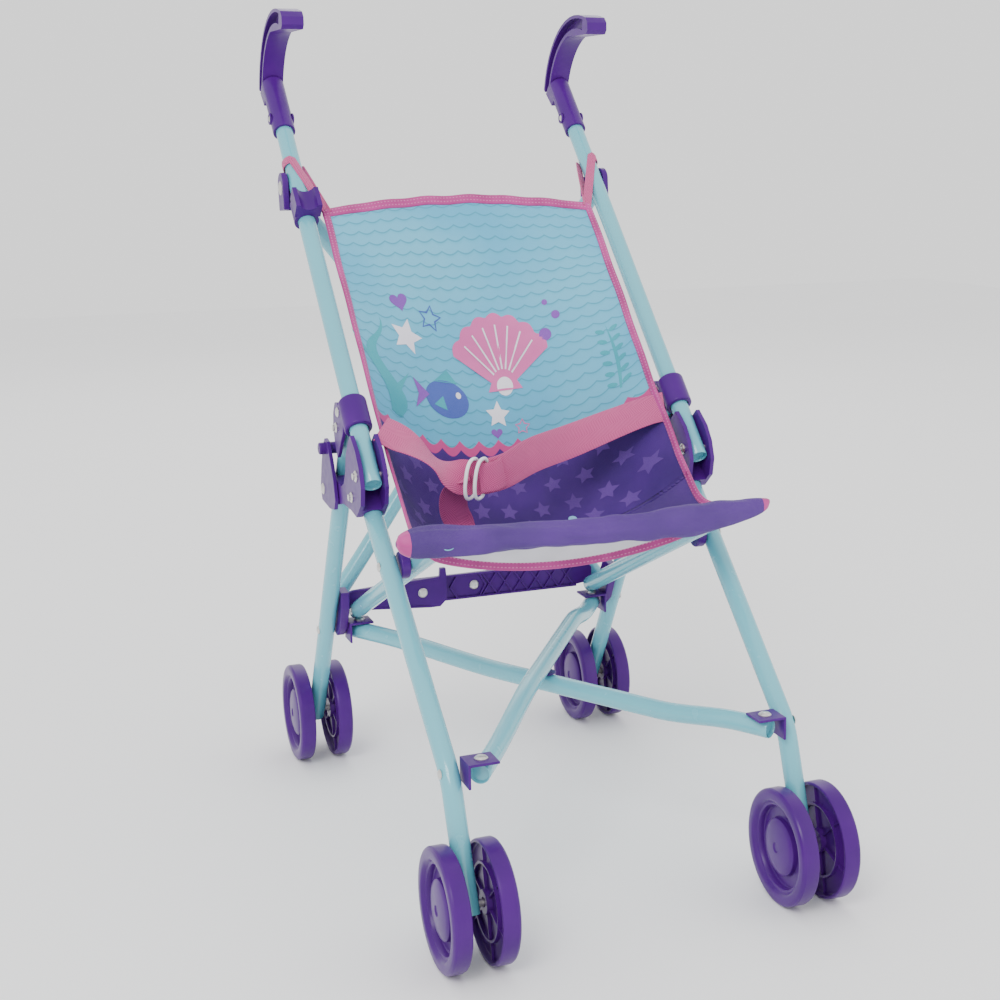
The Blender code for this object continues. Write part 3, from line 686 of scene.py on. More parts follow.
def make_grip(side_name, side):
    """Hooked grip of I section, grooved on both sides, with a solid tip."""
    x = side * SIDE_X
    piece = temporary(node_copy(f"grip_{side_name}"), f"grip_{side_name}_moulding")
    cutters = []
    for sign in (-1, 1):
        outline = arc(HOOK_CENTRE, 68.9, 9, 104.5, 30) + arc(HOOK_CENTRE, 61.2, 104.5, 20, 28)
        bm = bmesh.new()
        plate(bm, outline, x + sign * 2.2, x + sign * 12.0)
        cutters.append(temporary(bm, "groove"))
    carve(piece, cutters)
    bm = bmesh.new()
    bm.from_mesh(piece.data)
    bpy.data.objects.remove(piece)
    low = place(x, *SLEEVE_LOW)
    up = (place(x, *SLEEVE_HIGH) - low).normalized()
    for sign in (-1, 1):
        seat = low + up * 14 * MM + Vector((sign * 8.0 * MM, 0, 0))
        ring = [(0.0, 4.4), (0.9, 4.4), (1.3, 4.0), (1.3, 2.9), (0.7, 2.7), (0.0, 2.7)]
        lathe(bm, ring, seat, Vector((sign, 0, 0)), 24)
    moulding(f"grip_{side_name}", bm, f"{side_name}_handle", 0.7)
    heads = [(low + up * 14 * MM + Vector((sign * 8.6 * MM, 0, 0)), Vector((sign, 0, 0)), 2.4, 1.0)
             for sign in (-1, 1)]
    rivets(f"grip_{side_name}_rivets", f"{side_name}_handle", heads)


def make_copied_fittings():
    """Plastic fittings with the frame's shape and softly rounded edges."""
    for side_name, _ in SIDES:
        for node, body, width in (
                (f"rail_spacer_{side_name}", f"{side_name}_seat_rail", 0.9),
                (f"rear_bracket_{side_name}", f"{side_name}_rear_leg", 0.9),
                (f"floor_bracket_front_{side_name}", f"{side_name}_front_bracket", 0.5),
                (f"floor_bracket_rear_{side_name}", f"{side_name}_rear_bracket", 0.5)):
            moulding(node, node_copy(node), body, width)
    for node, body in (("brace_spacer", "floor_brace_lower"), ("storage_clip", "left_handle")):
        moulding(node, node_copy(node), body, 0.7)


def handle_point(x, distance):
    """Point of a handle's centre line, at a distance above its lower end."""
    share = distance / math.dist(HANDLE_LOW, HANDLE_HIGH)
    return place(x, *along(HANDLE_LOW, HANDLE_HIGH, share))


def make_collar(side_name, side):
    """Clamp collar: a round sleeve on the handle with two pointed cheeks beside the rear leg."""
    x = side * SIDE_X
    bm = bmesh.new()
    low, high = handle_point(x, 45.0), handle_point(x, 69.0)
    sleeve = [(0.0, 6.75), (0.0, 8.8), (0.8, 9.6), (22.8, 9.6), (24.0, 8.8), (24.0, 6.75)]
    lathe(bm, sleeve, low, (high - low).normalized(), 40)
    cheek = [(203.0, 293.0), (211.0, 301.0), (218.0, 306.5), (226.0, 305.5), (231.0, 298.0), (232.5, 288.0),
             (229.5, 277.0), (223.5, 267.5), (218.5, 272.0), (212.0, 280.0), (205.0, 287.0)]
    for sign in (-1, 1):
        plate(bm, cheek, x + sign * 6.9, x + sign * FORK_HALF)
    moulding(f"clamp_collar_{side_name}", bm, f"{side_name}_handle", 0.8)
    heads = [(place(x + sign * FORK_HALF, 217.0, 300.0), Vector((sign, 0, 0)), 3.4, 1.6) for sign in (-1, 1)]
    rivets(f"clamp_collar_{side_name}_rivets", f"{side_name}_handle", heads)


def lean_box(origin, lean, start, end, low, high):
    """Outline of a box laid along a leaning line: start to end along it, low to high across."""
    run = (math.cos(lean), math.sin(lean))
    corners = ((start, low), (end, low), (end, high), (start, high))
    return [(origin[0] + s * run[0] - t * run[1], origin[1] + s * run[1] + t * run[0]) for s, t in corners]


def make_knee_bracket(side_name, side):
    """Fork with pointed walls for the handle's foot, and a low channel for the rear leg."""
    x = side * SIDE_X
    outline = [(163.0, 246.0), (160.5, 258.0), (164.5, 270.0), (172.0, 280.0), (185.0, 289.0), (191.0, 284.0),
               (199.0, 274.0), (202.0, 262.0), (208.0, 252.5), (216.0, 249.0), (232.0, 252.0), (246.0, 254.0),
               (257.0, 251.0), (263.0, 243.0), (262.0, 232.0), (250.0, 229.0), (212.0, 238.0), (190.0, 238.0),
               (175.0, 236.0)]
    bm = bmesh.new()
    plate(bm, outline, x - FORK_HALF, x + FORK_HALF)
    piece = temporary(bm, f"knee_bracket_{side_name}_moulding")
    leg_low, leg_high = place(side * LEG_BEND_X, *LEG_BEND), place(side * LEG_TOP_X, *LEG_TOP)
    hole = bmesh.new()
    lathe(hole, [(0.0, 0.01), (0.0, BORE), (220.0, BORE), (220.0, 0.01)], leg_low,
          (leg_high - leg_low).normalized(), 32)
    lean = math.atan2(LEG_TOP[1] - LEG_BEND[1], LEG_TOP[0] - LEG_BEND[0])
    slot = bmesh.new()
    plate(slot, lean_box(LEG_RIVET, lean, -60.0, 60.0, 7.5, 70.0), x - BORE, x + BORE)
    leg_lean = math.atan2(REAR_AXLE[1] - REAR_LEG_PIVOT[1], REAR_AXLE[0] - REAR_LEG_PIVOT[0])
    channel = bmesh.new()
    plate(channel, lean_box(REAR_LEG_PIVOT, leg_lean, -20.0, 90.0, -BORE, 60.0), x - BORE, x + BORE)
    carve(piece, [temporary(cut, "cut") for cut in (hole, slot, channel)])
    bm = bmesh.new()
    bm.from_mesh(piece.data)
    bpy.data.objects.remove(piece)
    moulding(f"knee_bracket_{side_name}", bm, f"{side_name}_front_leg", 0.7)


def make_lever(side_name, side):
    """Release lever: a leaf beside the fork, with a finger rod on its top."""
    near = side * (SIDE_X + FORK_HALF + 0.4)
    outline = [(262.5, 231.0), (266.0, 240.0), (261.0, 256.0), (254.0, 272.0), (248.0, 277.5), (241.0, 276.0),
               (234.0, 266.0), (226.0, 252.0), (222.0, 238.0), (226.0, 231.0), (240.0, 229.0)]
    bm = bmesh.new()
    plate(bm, outline, near, near + side * 2.6)
    rod = [(-6.0, 0.2), (-6.0, 3.6), (-5.4, 4.2), (6.4, 4.2), (7.0, 3.6), (7.0, 0.2)]
    lathe(bm, rod, place(near, 247.5, 270.5), Vector((side, 0, 0)), 28)
    moulding(f"release_lever_{side_name}", bm, f"{side_name}_lever", 0.6)
    head = (place(near + side * 2.5, *LEVER_PIVOT), Vector((side, 0, 0)), 4.0, 1.8)
    rivets(f"release_lever_{side_name}_rivet", f"{side_name}_lever", [head])


def make_top_bracket(side_name, side):
    """Angle bracket on the outside of the handle, with a rounded ear and a flange behind."""
    lean = math.atan2(TOP_PIVOT[1] - BRACE_FOOT[1], TOP_PIVOT[0] - BRACE_FOOT[0])
    run = (math.cos(lean), math.sin(lean))
    ear = []
    for s, t in [(-3, -10), (-3, 8)] + arc((15.0, -1.0), 9.5, 80, -80, 12):
        ear.append((TOP_PIVOT[0] + s * run[0] - t * run[1], TOP_PIVOT[1] + s * run[1] + t * run[0]))
    bm = bmesh.new()
    plate(bm, ear, side * 124.9, side * 129.4)
    plate(bm, lean_box(TOP_PIVOT, lean, -3.0, 18.0, -9.0, -6.8), side * 112.0, side * 127.6)
    moulding(f"top_bracket_{side_name}", bm, f"{side_name}_top_bracket", 0.8)
    spot = (TOP_PIVOT[0] + 13.0 * run[0], TOP_PIVOT[1] + 13.0 * run[1])
    head = (place(side * 129.3, *spot), Vector((side, 0, 0)), 5.2, 1.6)
    rivets(f"top_bracket_{side_name}_rivet", f"{side_name}_top_bracket", [head])


def slab(bm, outline, a_from, a_to):
    """Flat piece with a front-view outline of (x, b) points."""
    near = [bm.verts.new(place(x, a_from, b)) for x, b in outline]
    far = [bm.verts.new(place(x, a_to, b)) for x, b in outline]
    bm.faces.new(near)
    bm.faces.new(list(reversed(far)))
    for i in range(len(outline)):
        j = (i + 1) % len(outline)
        bm.faces.new((near[i], near[j], far[j], far[i]))
    bmesh.ops.recalc_face_normals(bm, faces=bm.faces)


def rib(bm, start, end, width, a_from, a_to):
    """Straight raised rib between two (x, b) points."""
    lean = math.atan2(end[1] - start[1], end[0] - start[0])
    slab(bm, lean_box(start, lean, 0.0, math.dist(start, end), -width / 2, width / 2), a_from, a_to)


def make_lock_bar():
    """Folding bar between the rear legs: a plain channel on the left, a ribbed link on the right."""
    level = LOCK_LEVEL
    bm = bmesh.new()
    outline = [(-103.0, -5.5), (-97.0, -7.5), (-60.0, -10.5), (-34.0, -12.5), (-28.0, -12.5), (-22.5, -7.0),
               (-22.5, 11.5), (-23.0, 18.0), (-27.5, 18.0), (-28.0, 11.5), (-60.0, 10.0), (-97.0, 7.5),
               (-103.0, 5.5)]
    slab(bm, [(x, level + b) for x, b in outline], 321.4, 325.4)
    for start, end in (((-98, 6.9), (-29, 10.6)), ((-98, -6.9), (-35, -11.6))):
        rib(bm, (start[0], level + start[1]), (end[0], level + end[1]), 1.6, 320.6, 321.8)
    moulding("lock_link_left", bm, "left_lock_link", 0.5)
    bm = bmesh.new()
    outline = [(-48.0, -9.5), (82.0, -10.0), (97.0, -8.0), (102.0, -4.0), (102.0, 4.0), (97.0, 9.0),
               (90.0, 10.5), (-48.0, 9.5)]
    slab(bm, [(x, level + b) for x, b in outline], 328.8, 331.6)
    half = 9.3
    for sign in (-1, 1):
        rib(bm, (-46, level + sign * half), (88, level + sign * half), 1.5, 326.8, 329.4)
    hexagon = [(-18, 0), (-12, half), (-12, -half), (6, half), (6, -half), (11, 0)]
    for start, end in ((0, 1), (0, 2), (3, 5), (4, 5)):
        rib(bm, (hexagon[start][0], level + hexagon[start][1]), (hexagon[end][0], level + hexagon[end][1]),
            1.2, 326.9, 329.4)
    for k in range(6):
        x = 8 + 13.0 * k
        rib(bm, (x, level - half), (x + 13, level + half), 1.1, 327.1, 329.4)
        rib(bm, (x, level + half), (x + 13, level - half), 1.1, 327.1, 329.4)
    moulding("lock_link_right", bm, "right_lock_link", 0.3, 2)
    for name, x, a in (("left", -42.0, 321.4), ("right", 2.0, 328.6)):
        head = (place(x, a, level), Vector((0, -1, 0)), 3.8, 2.2)
        rivets(f"lock_link_{name}_rivet", f"{name}_lock_link", [head])


def make_rivets():
    """Domed heads on the cross pins, the legs' screws and the brackets' rivets."""
    out = FORK_HALF + 0.1
    pins = {"front_leg": ((KNEE, 3.9), (LEG_RIVET, 3.6)), "rear_leg": ((REAR_LEG_PIVOT, 3.6),)}
    screws = {
        "front_leg": ((RAIL_PIVOT, 115.8 + TUBE_RADIUS - 0.4),
                      ((28.0, 109.5), LEG_BEND_X + TUBE_RADIUS - 0.6)),
        "rear_leg": (((324.0, 117.0), SIDE_X + TUBE_RADIUS - 0.4),),
    }
    for side_name, side in SIDES:
        for leg in ("front_leg", "rear_leg"):
            heads = [(place(side * SIDE_X + sign * out, *at), Vector((sign, 0, 0)), radius, 1.7)
                     for at, radius in pins[leg] for sign in (-1, 1)]
            heads += [(place(side * x, *at), Vector((side, 0, 0)), 3.2, 1.6) for at, x in screws[leg]]
            rivets(f"{side_name}_{leg}_rivet_heads", f"{side_name}_{leg}", heads)
        head = (place(side * (RAIL_X - 6.2), *RAIL_PIVOT), Vector((-side, 0, 0)), 3.4, 1.8)
        rivets(f"{side_name}_seat_rail_rivet_head", f"{side_name}_seat_rail", [head])
        for end, at in (("front", FLOOR_PIVOT), ("rear", FLOOR_REAR)):
            head = (place(side * FLOOR_BRACE_X, at[0], at[1] + 8.3), Vector((0, 0, 1)), 4.2, 2.2)
            rivets(f"{side_name}_{end}_bracket_rivet_head", f"{side_name}_{end}_bracket", [head])
    for node in [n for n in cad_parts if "axle" in n or "_pin_" in n or "knee_rivet" in n]:
        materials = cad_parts[node].data.materials
        materials.clear()
        materials.append(STEEL)


# ---------------------------------------------------------------- soft goods

def seat_row(v):
    """Half width, edge and middle of the sheet at a distance v down its edge, on a smooth curve."""
    rows = SEAT_ROWS
    i = max(k for k in range(len(rows) - 1) if rows[k][0] <= max(v, 0.0))
    before = rows[max(i - 1, 0)]
    after = rows[min(i + 2, len(rows) - 1)]
    start, end = rows[i], rows[i + 1]
    t = (v - start[0]) / (end[0] - start[0])
    result = []
    for values in zip(before[1:], start[1:], end[1:], after[1:]):
        result.append(through(*values, t))
    return result


def seat_point(u, v):
    """Point of the sling: u from -1 to 1 across, v in millimetres down the edge."""
    half, edge_a, edge_b, mid_a, mid_b = seat_row(v)
    belly = 1 - abs(u) ** (2 + 1.5 * smooth(v, 110.0, 250.0))
    x = u * half
    loose = smooth(v, 150.0, 250.0) * (1 - smooth(v, 290.0, 322.0))
    side_fold = math.exp(-((abs(u) - 0.84) / 0.09) ** 2) * math.sin(v / 7.0 + 2 * u) * 2.2 * loose
    held = 1 - abs(u) ** 6
    ripple = noise.noise(Vector((x / 34.0, v / 60.0, 3.0))) * 1.6 * held
    ripple += noise.noise(Vector((x / 13.0, v / 45.0, 8.0))) * 0.7 * smooth(v, 140.0, 240.0) * held
    top_pucker = math.sin(x / 5.0) * 0.5 * (1 - smooth(v, 2.0, 30.0)) * (1 - abs(u) ** 4)
    lift = side_fold + ripple + top_pucker
    a = edge_a + (mid_a - edge_a) * belly - lift * 0.7
    b = edge_b + (mid_b - edge_b) * belly + lift * 0.7
    return place(x, a, b)


def seat_normal(u, v):
    """Direction out of the sheet's front face."""
    across = seat_point(min(u + 0.01, 1.0), v) - seat_point(max(u - 0.01, -1.0), v)
    down = seat_point(u, v + 1.0) - seat_point(u, v - 1.0 if v > 1 else v)
    return down.cross(across).normalized()


def cloth_quad(bm, layer, corners):
    """Face through (vertex, uv) corners."""
    face = bm.faces.new([vert for vert, _ in corners])
    for loop, (_, uv) in zip(face.loops, corners):
        loop[layer].uv = uv
    return face


def thicken(piece):
    """Gives a sheet the thickness of cloth."""
    thick = piece.modifiers.new("Cloth", "SOLIDIFY")
    thick.thickness = CLOTH_THICK * MM
    return thick


def make_sheet(name, top, bottom, looks, body, replaced):
    """Fine mesh of a stretch of the sling, with its cloth coordinates as UVs."""
    across, down = 110, int((bottom - top) / 2)
    bm = bmesh.new()
    layer = bm.loops.layers.uv.new("cloth")
    grid = []
    for j in range(down + 1):
        v = top + (bottom - top) * j / down
        half = seat_row(v)[0]
        grid.append([(bm.verts.new(seat_point(2 * i / across - 1, v)), ((2 * i / across - 1) * half, v))
                     for i in range(across + 1)])
    for upper, lower in zip(grid, grid[1:]):
        for i in range(across):
            cloth_quad(bm, layer, (upper[i], lower[i], lower[i + 1], upper[i + 1]))
    piece = finish_piece(name, bm, looks, body, replaced, 180.0)
    thick = thicken(piece)
    thick.offset = -1.0
    thick.material_offset = 1
    thick.material_offset_rim = 1
    return piece


def crumple(piece):
    """Gives the cloth piece a mesh of its own."""
    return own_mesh(piece)


def strap(bm, centres, across, width, thick, power=4.0, sides=20):
    """Flat strap through centres, each with the direction of its width; UVs are millimetres."""
    layer = bm.loops.layers.uv.verify()
    rows = []
    run = 0.0
    for i, centre in enumerate(centres):
        before, after = centres[max(i - 1, 0)], centres[min(i + 1, len(centres) - 1)]
        tangent = (after - before).normalized()
        side = (across[i] - tangent * across[i].dot(tangent)).normalized()
        out = tangent.cross(side)
        if i:
            run += (centre - centres[i - 1]).length / MM
        ring = []
        for k in range(sides):
            t = 2 * math.pi * (k + 0.5) / sides
            c, s = math.cos(t), math.sin(t)
            p = math.copysign(abs(c) ** (2 / power), c) * width / 2
            q = math.copysign(abs(s) ** (2 / power), s) * thick / 2
            ring.append((bm.verts.new(centre + side * p * MM + out * q * MM), (run, p)))
        rows.append(ring)
    for first, second in zip(rows, rows[1:]):
        for k in range(sides):
            j = (k + 1) % sides
            cloth_quad(bm, layer, (first[k], first[j], second[j], second[k]))
    for ring in (rows[0], rows[-1]):
        cloth_quad(bm, layer, ring)
    bmesh.ops.recalc_face_normals(bm, faces=bm.faces)


def curve_through(points, steps=10):
    """Smooth list of vectors through given ones."""
    result = []
    for i in range(len(points) - 1):
        around = (points[max(i - 1, 0)], points[i], points[i + 1], points[min(i + 2, len(points) - 1)])
        for step in range(steps):
            result.append(through(*around, step / steps))
    return result + [points[-1]]


def make_binding(name, top, bottom, with_top, body):
    """Folded tape over both side edges of the sling, and over its top edge."""
    bm = bmesh.new()
    for side in (-1, 1):
        steps = int((bottom - top) / 4)
        values = [top + (bottom - top) * i / steps for i in range(steps + 1)]
        centres, across = [], []
        for v in values:
            edge = seat_point(side, v)
            inward = (seat_point(side * 0.975, v) - edge).normalized()
            wave = 0.25 * math.sin(v / 9.0 + side)
            centres.append(edge + inward * (1.9 + wave) * MM)
            across.append(inward)
        strap(bm, centres, across, 5.4, 2.3, power=3.0, sides=16)
    if with_top:
        centres, across = [], []
        for i in range(81):
            u = i / 40 - 1
            edge = seat_point(u * 0.985, 0.0)
            down = (seat_point(u * 0.985, 4.0) - edge).normalized()
            centres.append(edge + down * 1.6 * MM)
            across.append(down)
        strap(bm, centres, across, 7.6, 2.6, power=3.0, sides=16)
    return crumple(finish_piece(name, bm, TAPE, body, (), 60.0))


def polygon_patch(bm, outline, material_index, lift, grid=2.5):
    """Printed motif: an outline in cloth millimetres, laid on the sling."""
    points = [Vector(p) for p in outline]
    count = len(points)
    edges = [(i, (i + 1) % count) for i in range(count)]
    low_u, high_u = min(p.x for p in points), max(p.x for p in points)
    low_v, high_v = min(p.y for p in points), max(p.y for p in points)
    u = low_u + grid
    while u < high_u:
        v = low_v + grid
        while v < high_v:
            points.append(Vector((u, v)))
            v += grid
        u += grid
    verts, _, faces, *_ = geometry.delaunay_2d_cdt(points, edges, [], 1, 0.001)
    made = []
    layer = bm.loops.layers.uv.verify()
    for co in verts:
        half = seat_row(co.y)[0]
        u_share = co.x / half
        made.append(bm.verts.new(seat_point(u_share, co.y) + seat_normal(u_share, co.y) * lift * MM))
    for face in faces:
        corners = [verts[i] for i in face]
        made_face = bm.faces.new([made[i] for i in face])
        made_face.material_index = material_index
        for loop, co in zip(made_face.loops, corners):
            loop[layer].uv = co


def star_outline(u, v, size, turn=0.0, inner=0.5):
    """Five-pointed star."""
    points = []
    for k in range(10):
        radius = size / 2 * (1 if k % 2 == 0 else inner)
        angle = turn + math.pi * k / 5 - math.pi / 2
        points.append((u + radius * math.cos(angle), v + radius * math.sin(angle)))
    return points


def heart_outline(u, v, size, turn=0.0):
    """Heart, from a sum of cosines."""
    points = []
    for k in range(28):
        t = 2 * math.pi * k / 28
        x = 16 * math.sin(t) ** 3
        y = -(13 * math.cos(t) - 5 * math.cos(2 * t) - 2 * math.cos(3 * t) - math.cos(4 * t))
        c, s = math.cos(turn), math.sin(turn)
        points.append((u + size / 33 * (x * c - y * s), v + size / 33 * (x * s + y * c)))
    return points


def blade_outline(u, v, height, lean, width, waves=2.0):
    """Waving weed blade that stands on (u, v) and narrows to its tip."""
    left, right = [], []
    for k in range(21):
        t = k / 20
        middle = u + lean * t + math.sin(t * math.pi * waves) * width * 0.9
        wide = width * (0.35 + 0.75 * math.sin(math.pi * min(t * 0.9 + 0.12, 1.0))) / 2 * (1 - t ** 5)
        left.append((middle - wide, v - height * t))
        right.append((middle + wide, v - height * t))
    return left + list(reversed(right[:-1]))


def oval_outline(u, v, long, short, turn=0.0, steps=36):
    """Oval of two diameters."""
    points = []
    for k in range(steps):
        t = 2 * math.pi * k / steps
        x, y = long / 2 * math.cos(t), short / 2 * math.sin(t)
        c, s = math.cos(turn), math.sin(turn)
        points.append((u + x * c - y * s, v + x * s + y * c))
    return points


def band_outline(outline, width):
    """Thin band along a closed outline, as one quad strip per edge."""
    middle = Vector((sum(p[0] for p in outline), sum(p[1] for p in outline))) / len(outline)
    strips = []
    for p, q in zip(outline, outline[1:] + outline[:1]):
        p, q = Vector(p), Vector(q)
        p_in = p + (middle - p).normalized() * width
        q_in = q + (middle - q).normalized() * width
        strips.append([tuple(p), tuple(q), tuple(q_in), tuple(p_in)])
    return strips


def shell_outline(u, v, size):
    """Fan shell: a ribbed edge and a small hinge."""
    points = []
    for k in range(61):
        t = k / 60
        angle = math.radians(205 + 130 * t)
        radius = size * (0.92 + 0.06 * abs(math.sin(t * math.pi * 7)))
        points.append((u + radius * math.cos(angle) * 0.9, v + radius * math.sin(angle)))
    points += [(u + size * 0.20, v - size * 0.02), (u + size * 0.27, v + size * 0.10)]
    points += [(u - size * 0.27, v + size * 0.10), (u - size * 0.20, v - size * 0.02)]
    return points


def ink(bm, outline, name, lift=0.2):
    """Motif in one of the inks."""
    polygon_patch(bm, outline, list(INKS).index(name), lift)


def draw_upper_motifs(bm):
    """Heart and stars at the upper left, and weed at both sides."""
    ink(bm, heart_outline(-61.0, 78.0, 15.0, -0.2), "purple")
    for strip in band_outline(star_outline(-38.0, 88.0, 19.0, 0.2, 0.52), 1.3):
        ink(bm, strip, "navy")
    ink(bm, star_outline(-60.0, 103.0, 26.0, 0.25, 0.48), "white")
    ink(bm, blade_outline(-80.0, 164.0, 72.0, -8.0, 9.0, 2.6), "teal")
    ink(bm, blade_outline(-83.0, 163.0, 54.0, -18.0, 6.5, 1.6), "teal", 0.24)
    ink(bm, blade_outline(-77.0, 163.0, 34.0, 10.0, 6.5, -1.2), "teal", 0.28)
    ink(bm, blade_outline(88.0, 160.0, 50.0, 0.0, 2.0, 1.0), "teal")
    for k in range(6):
        for sign in (-1, 1):
            leaf = oval_outline(88.0 + sign * 4.4, 155.0 - 8 * k, 6.6, 3.2, sign * -0.5, 14)
            ink(bm, leaf, "teal", 0.24)


def draw_shell(bm):
    """Fan shell with rays and a pearl, and bubbles beside it."""
    ink(bm, shell_outline(12.0, 132.0, 48.0), "pink")
    for k in range(7):
        angle = math.radians(222 + 16 * k)
        tip = (12.0 + 39 * math.cos(angle) * 0.9, 132.0 + 39 * math.sin(angle))
        foot = (12.0 + 9 * math.cos(angle), 132.0 + 9 * math.sin(angle))
        cross = (-math.sin(angle) * 0.6, math.cos(angle) * 0.6)
        ray = [(foot[0] - cross[0], foot[1] - cross[1]), (foot[0] + cross[0], foot[1] + cross[1]),
               (tip[0] + cross[0], tip[1] + cross[1]), (tip[0] - cross[0], tip[1] - cross[1])]
        ink(bm, ray, "white", 0.32)
    ink(bm, oval_outline(12.0, 134.0, 12.0, 12.0), "white", 0.3)
    for u, v, size in ((48.0, 104.0, 9.0), (58.0, 92.0, 6.0), (52.0, 82.0, 4.2)):
        ink(bm, oval_outline(u, v, size, size), "purple")


def draw_fish(bm):
    """Plain fish: body, tail, fins and eye."""
    ink(bm, oval_outline(-35.0, 142.0, 34.0, 24.0, 0.12), "navy", 0.22)
    ink(bm, [(-49.0, 140.0), (-61.0, 131.0), (-58.0, 141.0), (-62.0, 151.0)], "purple", 0.3)
    ink(bm, [(-44.0, 131.0), (-32.0, 123.0), (-25.0, 131.5)], "teal", 0.18)
    ink(bm, [(-38.0, 140.0), (-46.0, 146.0), (-36.0, 149.0)], "teal", 0.34)
    ink(bm, oval_outline(-25.5, 139.0, 4.2, 4.2, 0.0, 16), "white", 0.34)


def draw_lower_motifs(bm):
    """Small stars and hearts under the shell and on the purple ground."""
    ink(bm, star_outline(3.0, 152.0, 19.0, 0.1, 0.5), "white")
    ink(bm, heart_outline(0.0, 165.0, 9.0), "purple")
    for strip in band_outline(star_outline(20.0, 162.0, 12.0, 0.1, 0.55), 0.9):
        ink(bm, strip, "pink")
    for (u, v), name in zip(PRINTED_HEARTS, ("blue", "white", "blue")):
        ink(bm, heart_outline(u, v, 12.5, -0.5), name)


def scatter_stars(bm, chance, v, last, pitch, hearts=()):
    """Rows of tonal stars from v down to last, clear of the hearts."""
    row = 0
    while v < last:
        for column in range(-4, 5):
            u = column * 23.0 + (11.5 if row % 2 else 0.0) + chance.uniform(-2, 2)
            if abs(u) < 92 and all(math.dist((u, v), heart) > 14 for heart in hearts):
                star = star_outline(u, v + chance.uniform(-2, 2), 14.0, chance.uniform(-0.4, 0.4))
                ink(bm, star, "tonal", 0.15)
        v += pitch
        row += 1


def make_motifs():
    """Sea motifs of the sling: stars, hearts, weed, a shell and a plain fish."""
    inks = list(INKS.values())
    chance = random.Random(7)
    bm = bmesh.new()
    for draw in (draw_upper_motifs, draw_shell, draw_fish, draw_lower_motifs):
        draw(bm)
    scatter_stars(bm, chance, BORDER + 18.0, CREASE - 9, 17.0, PRINTED_HEARTS)
    crumple(finish_piece("seat_back_motifs", bm, inks, "left_handle", (), 180.0))
    bm = bmesh.new()
    scatter_stars(bm, chance, CREASE + 14.0, 312, 15.0)
    crumple(finish_piece("seat_pan_motifs", bm, inks, "left_seat_rail", (), 180.0))


def make_front_sleeve():
    """Soft tube of cloth over the rails' front ends, with pink pocket corners."""
    bm = bmesh.new()
    layer = bm.loops.layers.uv.new("cloth")
    rows = []
    steps, sides = 130, 40
    for i in range(steps + 1):
        t = i / steps
        x = -SLEEVE_END + 2 * SLEEVE_END * t
        end = t / 0.07 if t < 0.5 else (1 - t) / 0.22
        full = math.sqrt(max(0.0, 1 - (1 - min(end, 1.0)) ** 2))
        radius = 1.6 + (7.4 + 0.8 * math.sin(t * 9.0 + 1.0)) * full
        centre_a = SLEEVE_AXIS[0] + 2.0 * math.sin(t * 6.0)
        centre_b = SLEEVE_AXIS[1] - 4.0 * math.sin(math.pi * t) + (4.0 if t > 0.5 else 0.0) * (1 - full)
        ring = []
        for k in range(sides):
            angle = 2 * math.pi * k / sides
            wrinkle = noise.noise(Vector((x / 16.0, math.cos(angle) * 1.3, math.sin(angle) * 1.3))) * 1.5
            wrinkle += noise.noise(Vector((x / 50.0, math.cos(angle) * 2.6, math.sin(angle) * 2.6 + 7))) * 1.1
            reach = radius + wrinkle * full
            flat = 0.86 + 0.1 * math.sin(t * 7.0)
            ring.append((bm.verts.new(place(x, centre_a + reach * flat * math.cos(angle),
                                            centre_b + reach * math.sin(angle))),
                         (x, angle * 10.0)))
        rows.append(ring)
    for first, second in zip(rows, rows[1:]):
        for k in range(sides):
            j = (k + 1) % sides
            face = cloth_quad(bm, layer, (first[k], first[j], second[j], second[k]))
            face.material_index = 1 if abs(first[k][1][0]) > POCKET_X else 0
    bm.faces.new([vert for vert, _ in rows[0]])
    bm.faces.new([vert for vert, _ in rows[-1]])
    bmesh.ops.recalc_face_normals(bm, faces=bm.faces)
    looks = [VIOLET, TAPE]
    crumple(finish_piece("seat_front_sleeve", bm, looks, "left_seat_rail", (), 180.0))


def hem_point(t, drop):
    """Point of the lining: t across it, drop from 0 at its top to 1 at its lower edge."""
    sag = math.sin(math.pi * t) ** 0.7
    return place(HEM_FROM + (HEM_TO - HEM_FROM) * t, 95.0 + 8 * sag * drop, 232.0 - (5 + 17 * sag) * drop)


def make_hem():
    """Pink-bound lining that hangs behind the front sleeve."""
    bm = bmesh.new()
    layer = bm.loops.layers.uv.new("cloth")
    grid = []
    across, down = 60, 6
    for i in range(across + 1):
        t = i / across
        x = HEM_FROM + (HEM_TO - HEM_FROM) * t
        grid.append([(bm.verts.new(hem_point(t, j / down)), (x, j / down * 22)) for j in range(down + 1)])
    for first, second in zip(grid, grid[1:]):
        for j in range(down):
            cloth_quad(bm, layer, (first[j], first[j + 1], second[j + 1], second[j]))
    piece = finish_piece("seat_front_lining", bm, LINING, "left_seat_rail", (), 180.0)
    thicken(piece)
    crumple(piece)
    bm = bmesh.new()
    centres = [hem_point(i / across, 1.0) for i in range(across + 1)]
    strap(bm, centres, [Vector((0, 0.2, 1))] * len(centres), 7.0, 2.2, power=3.0, sides=16)
    crumple(finish_piece("seat_front_lining_tape", bm, TAPE, "left_seat_rail", (), 60.0))


def webbing_strap(bm, points, turns, width):
    """Flat webbing along (x, a, b) points, its width lying along the turns."""
    centres = curve_through([place(*point) for point in points])
    strap(bm, centres, curve_through([Vector(turn) for turn in turns]), width, WEBBING_THICK)


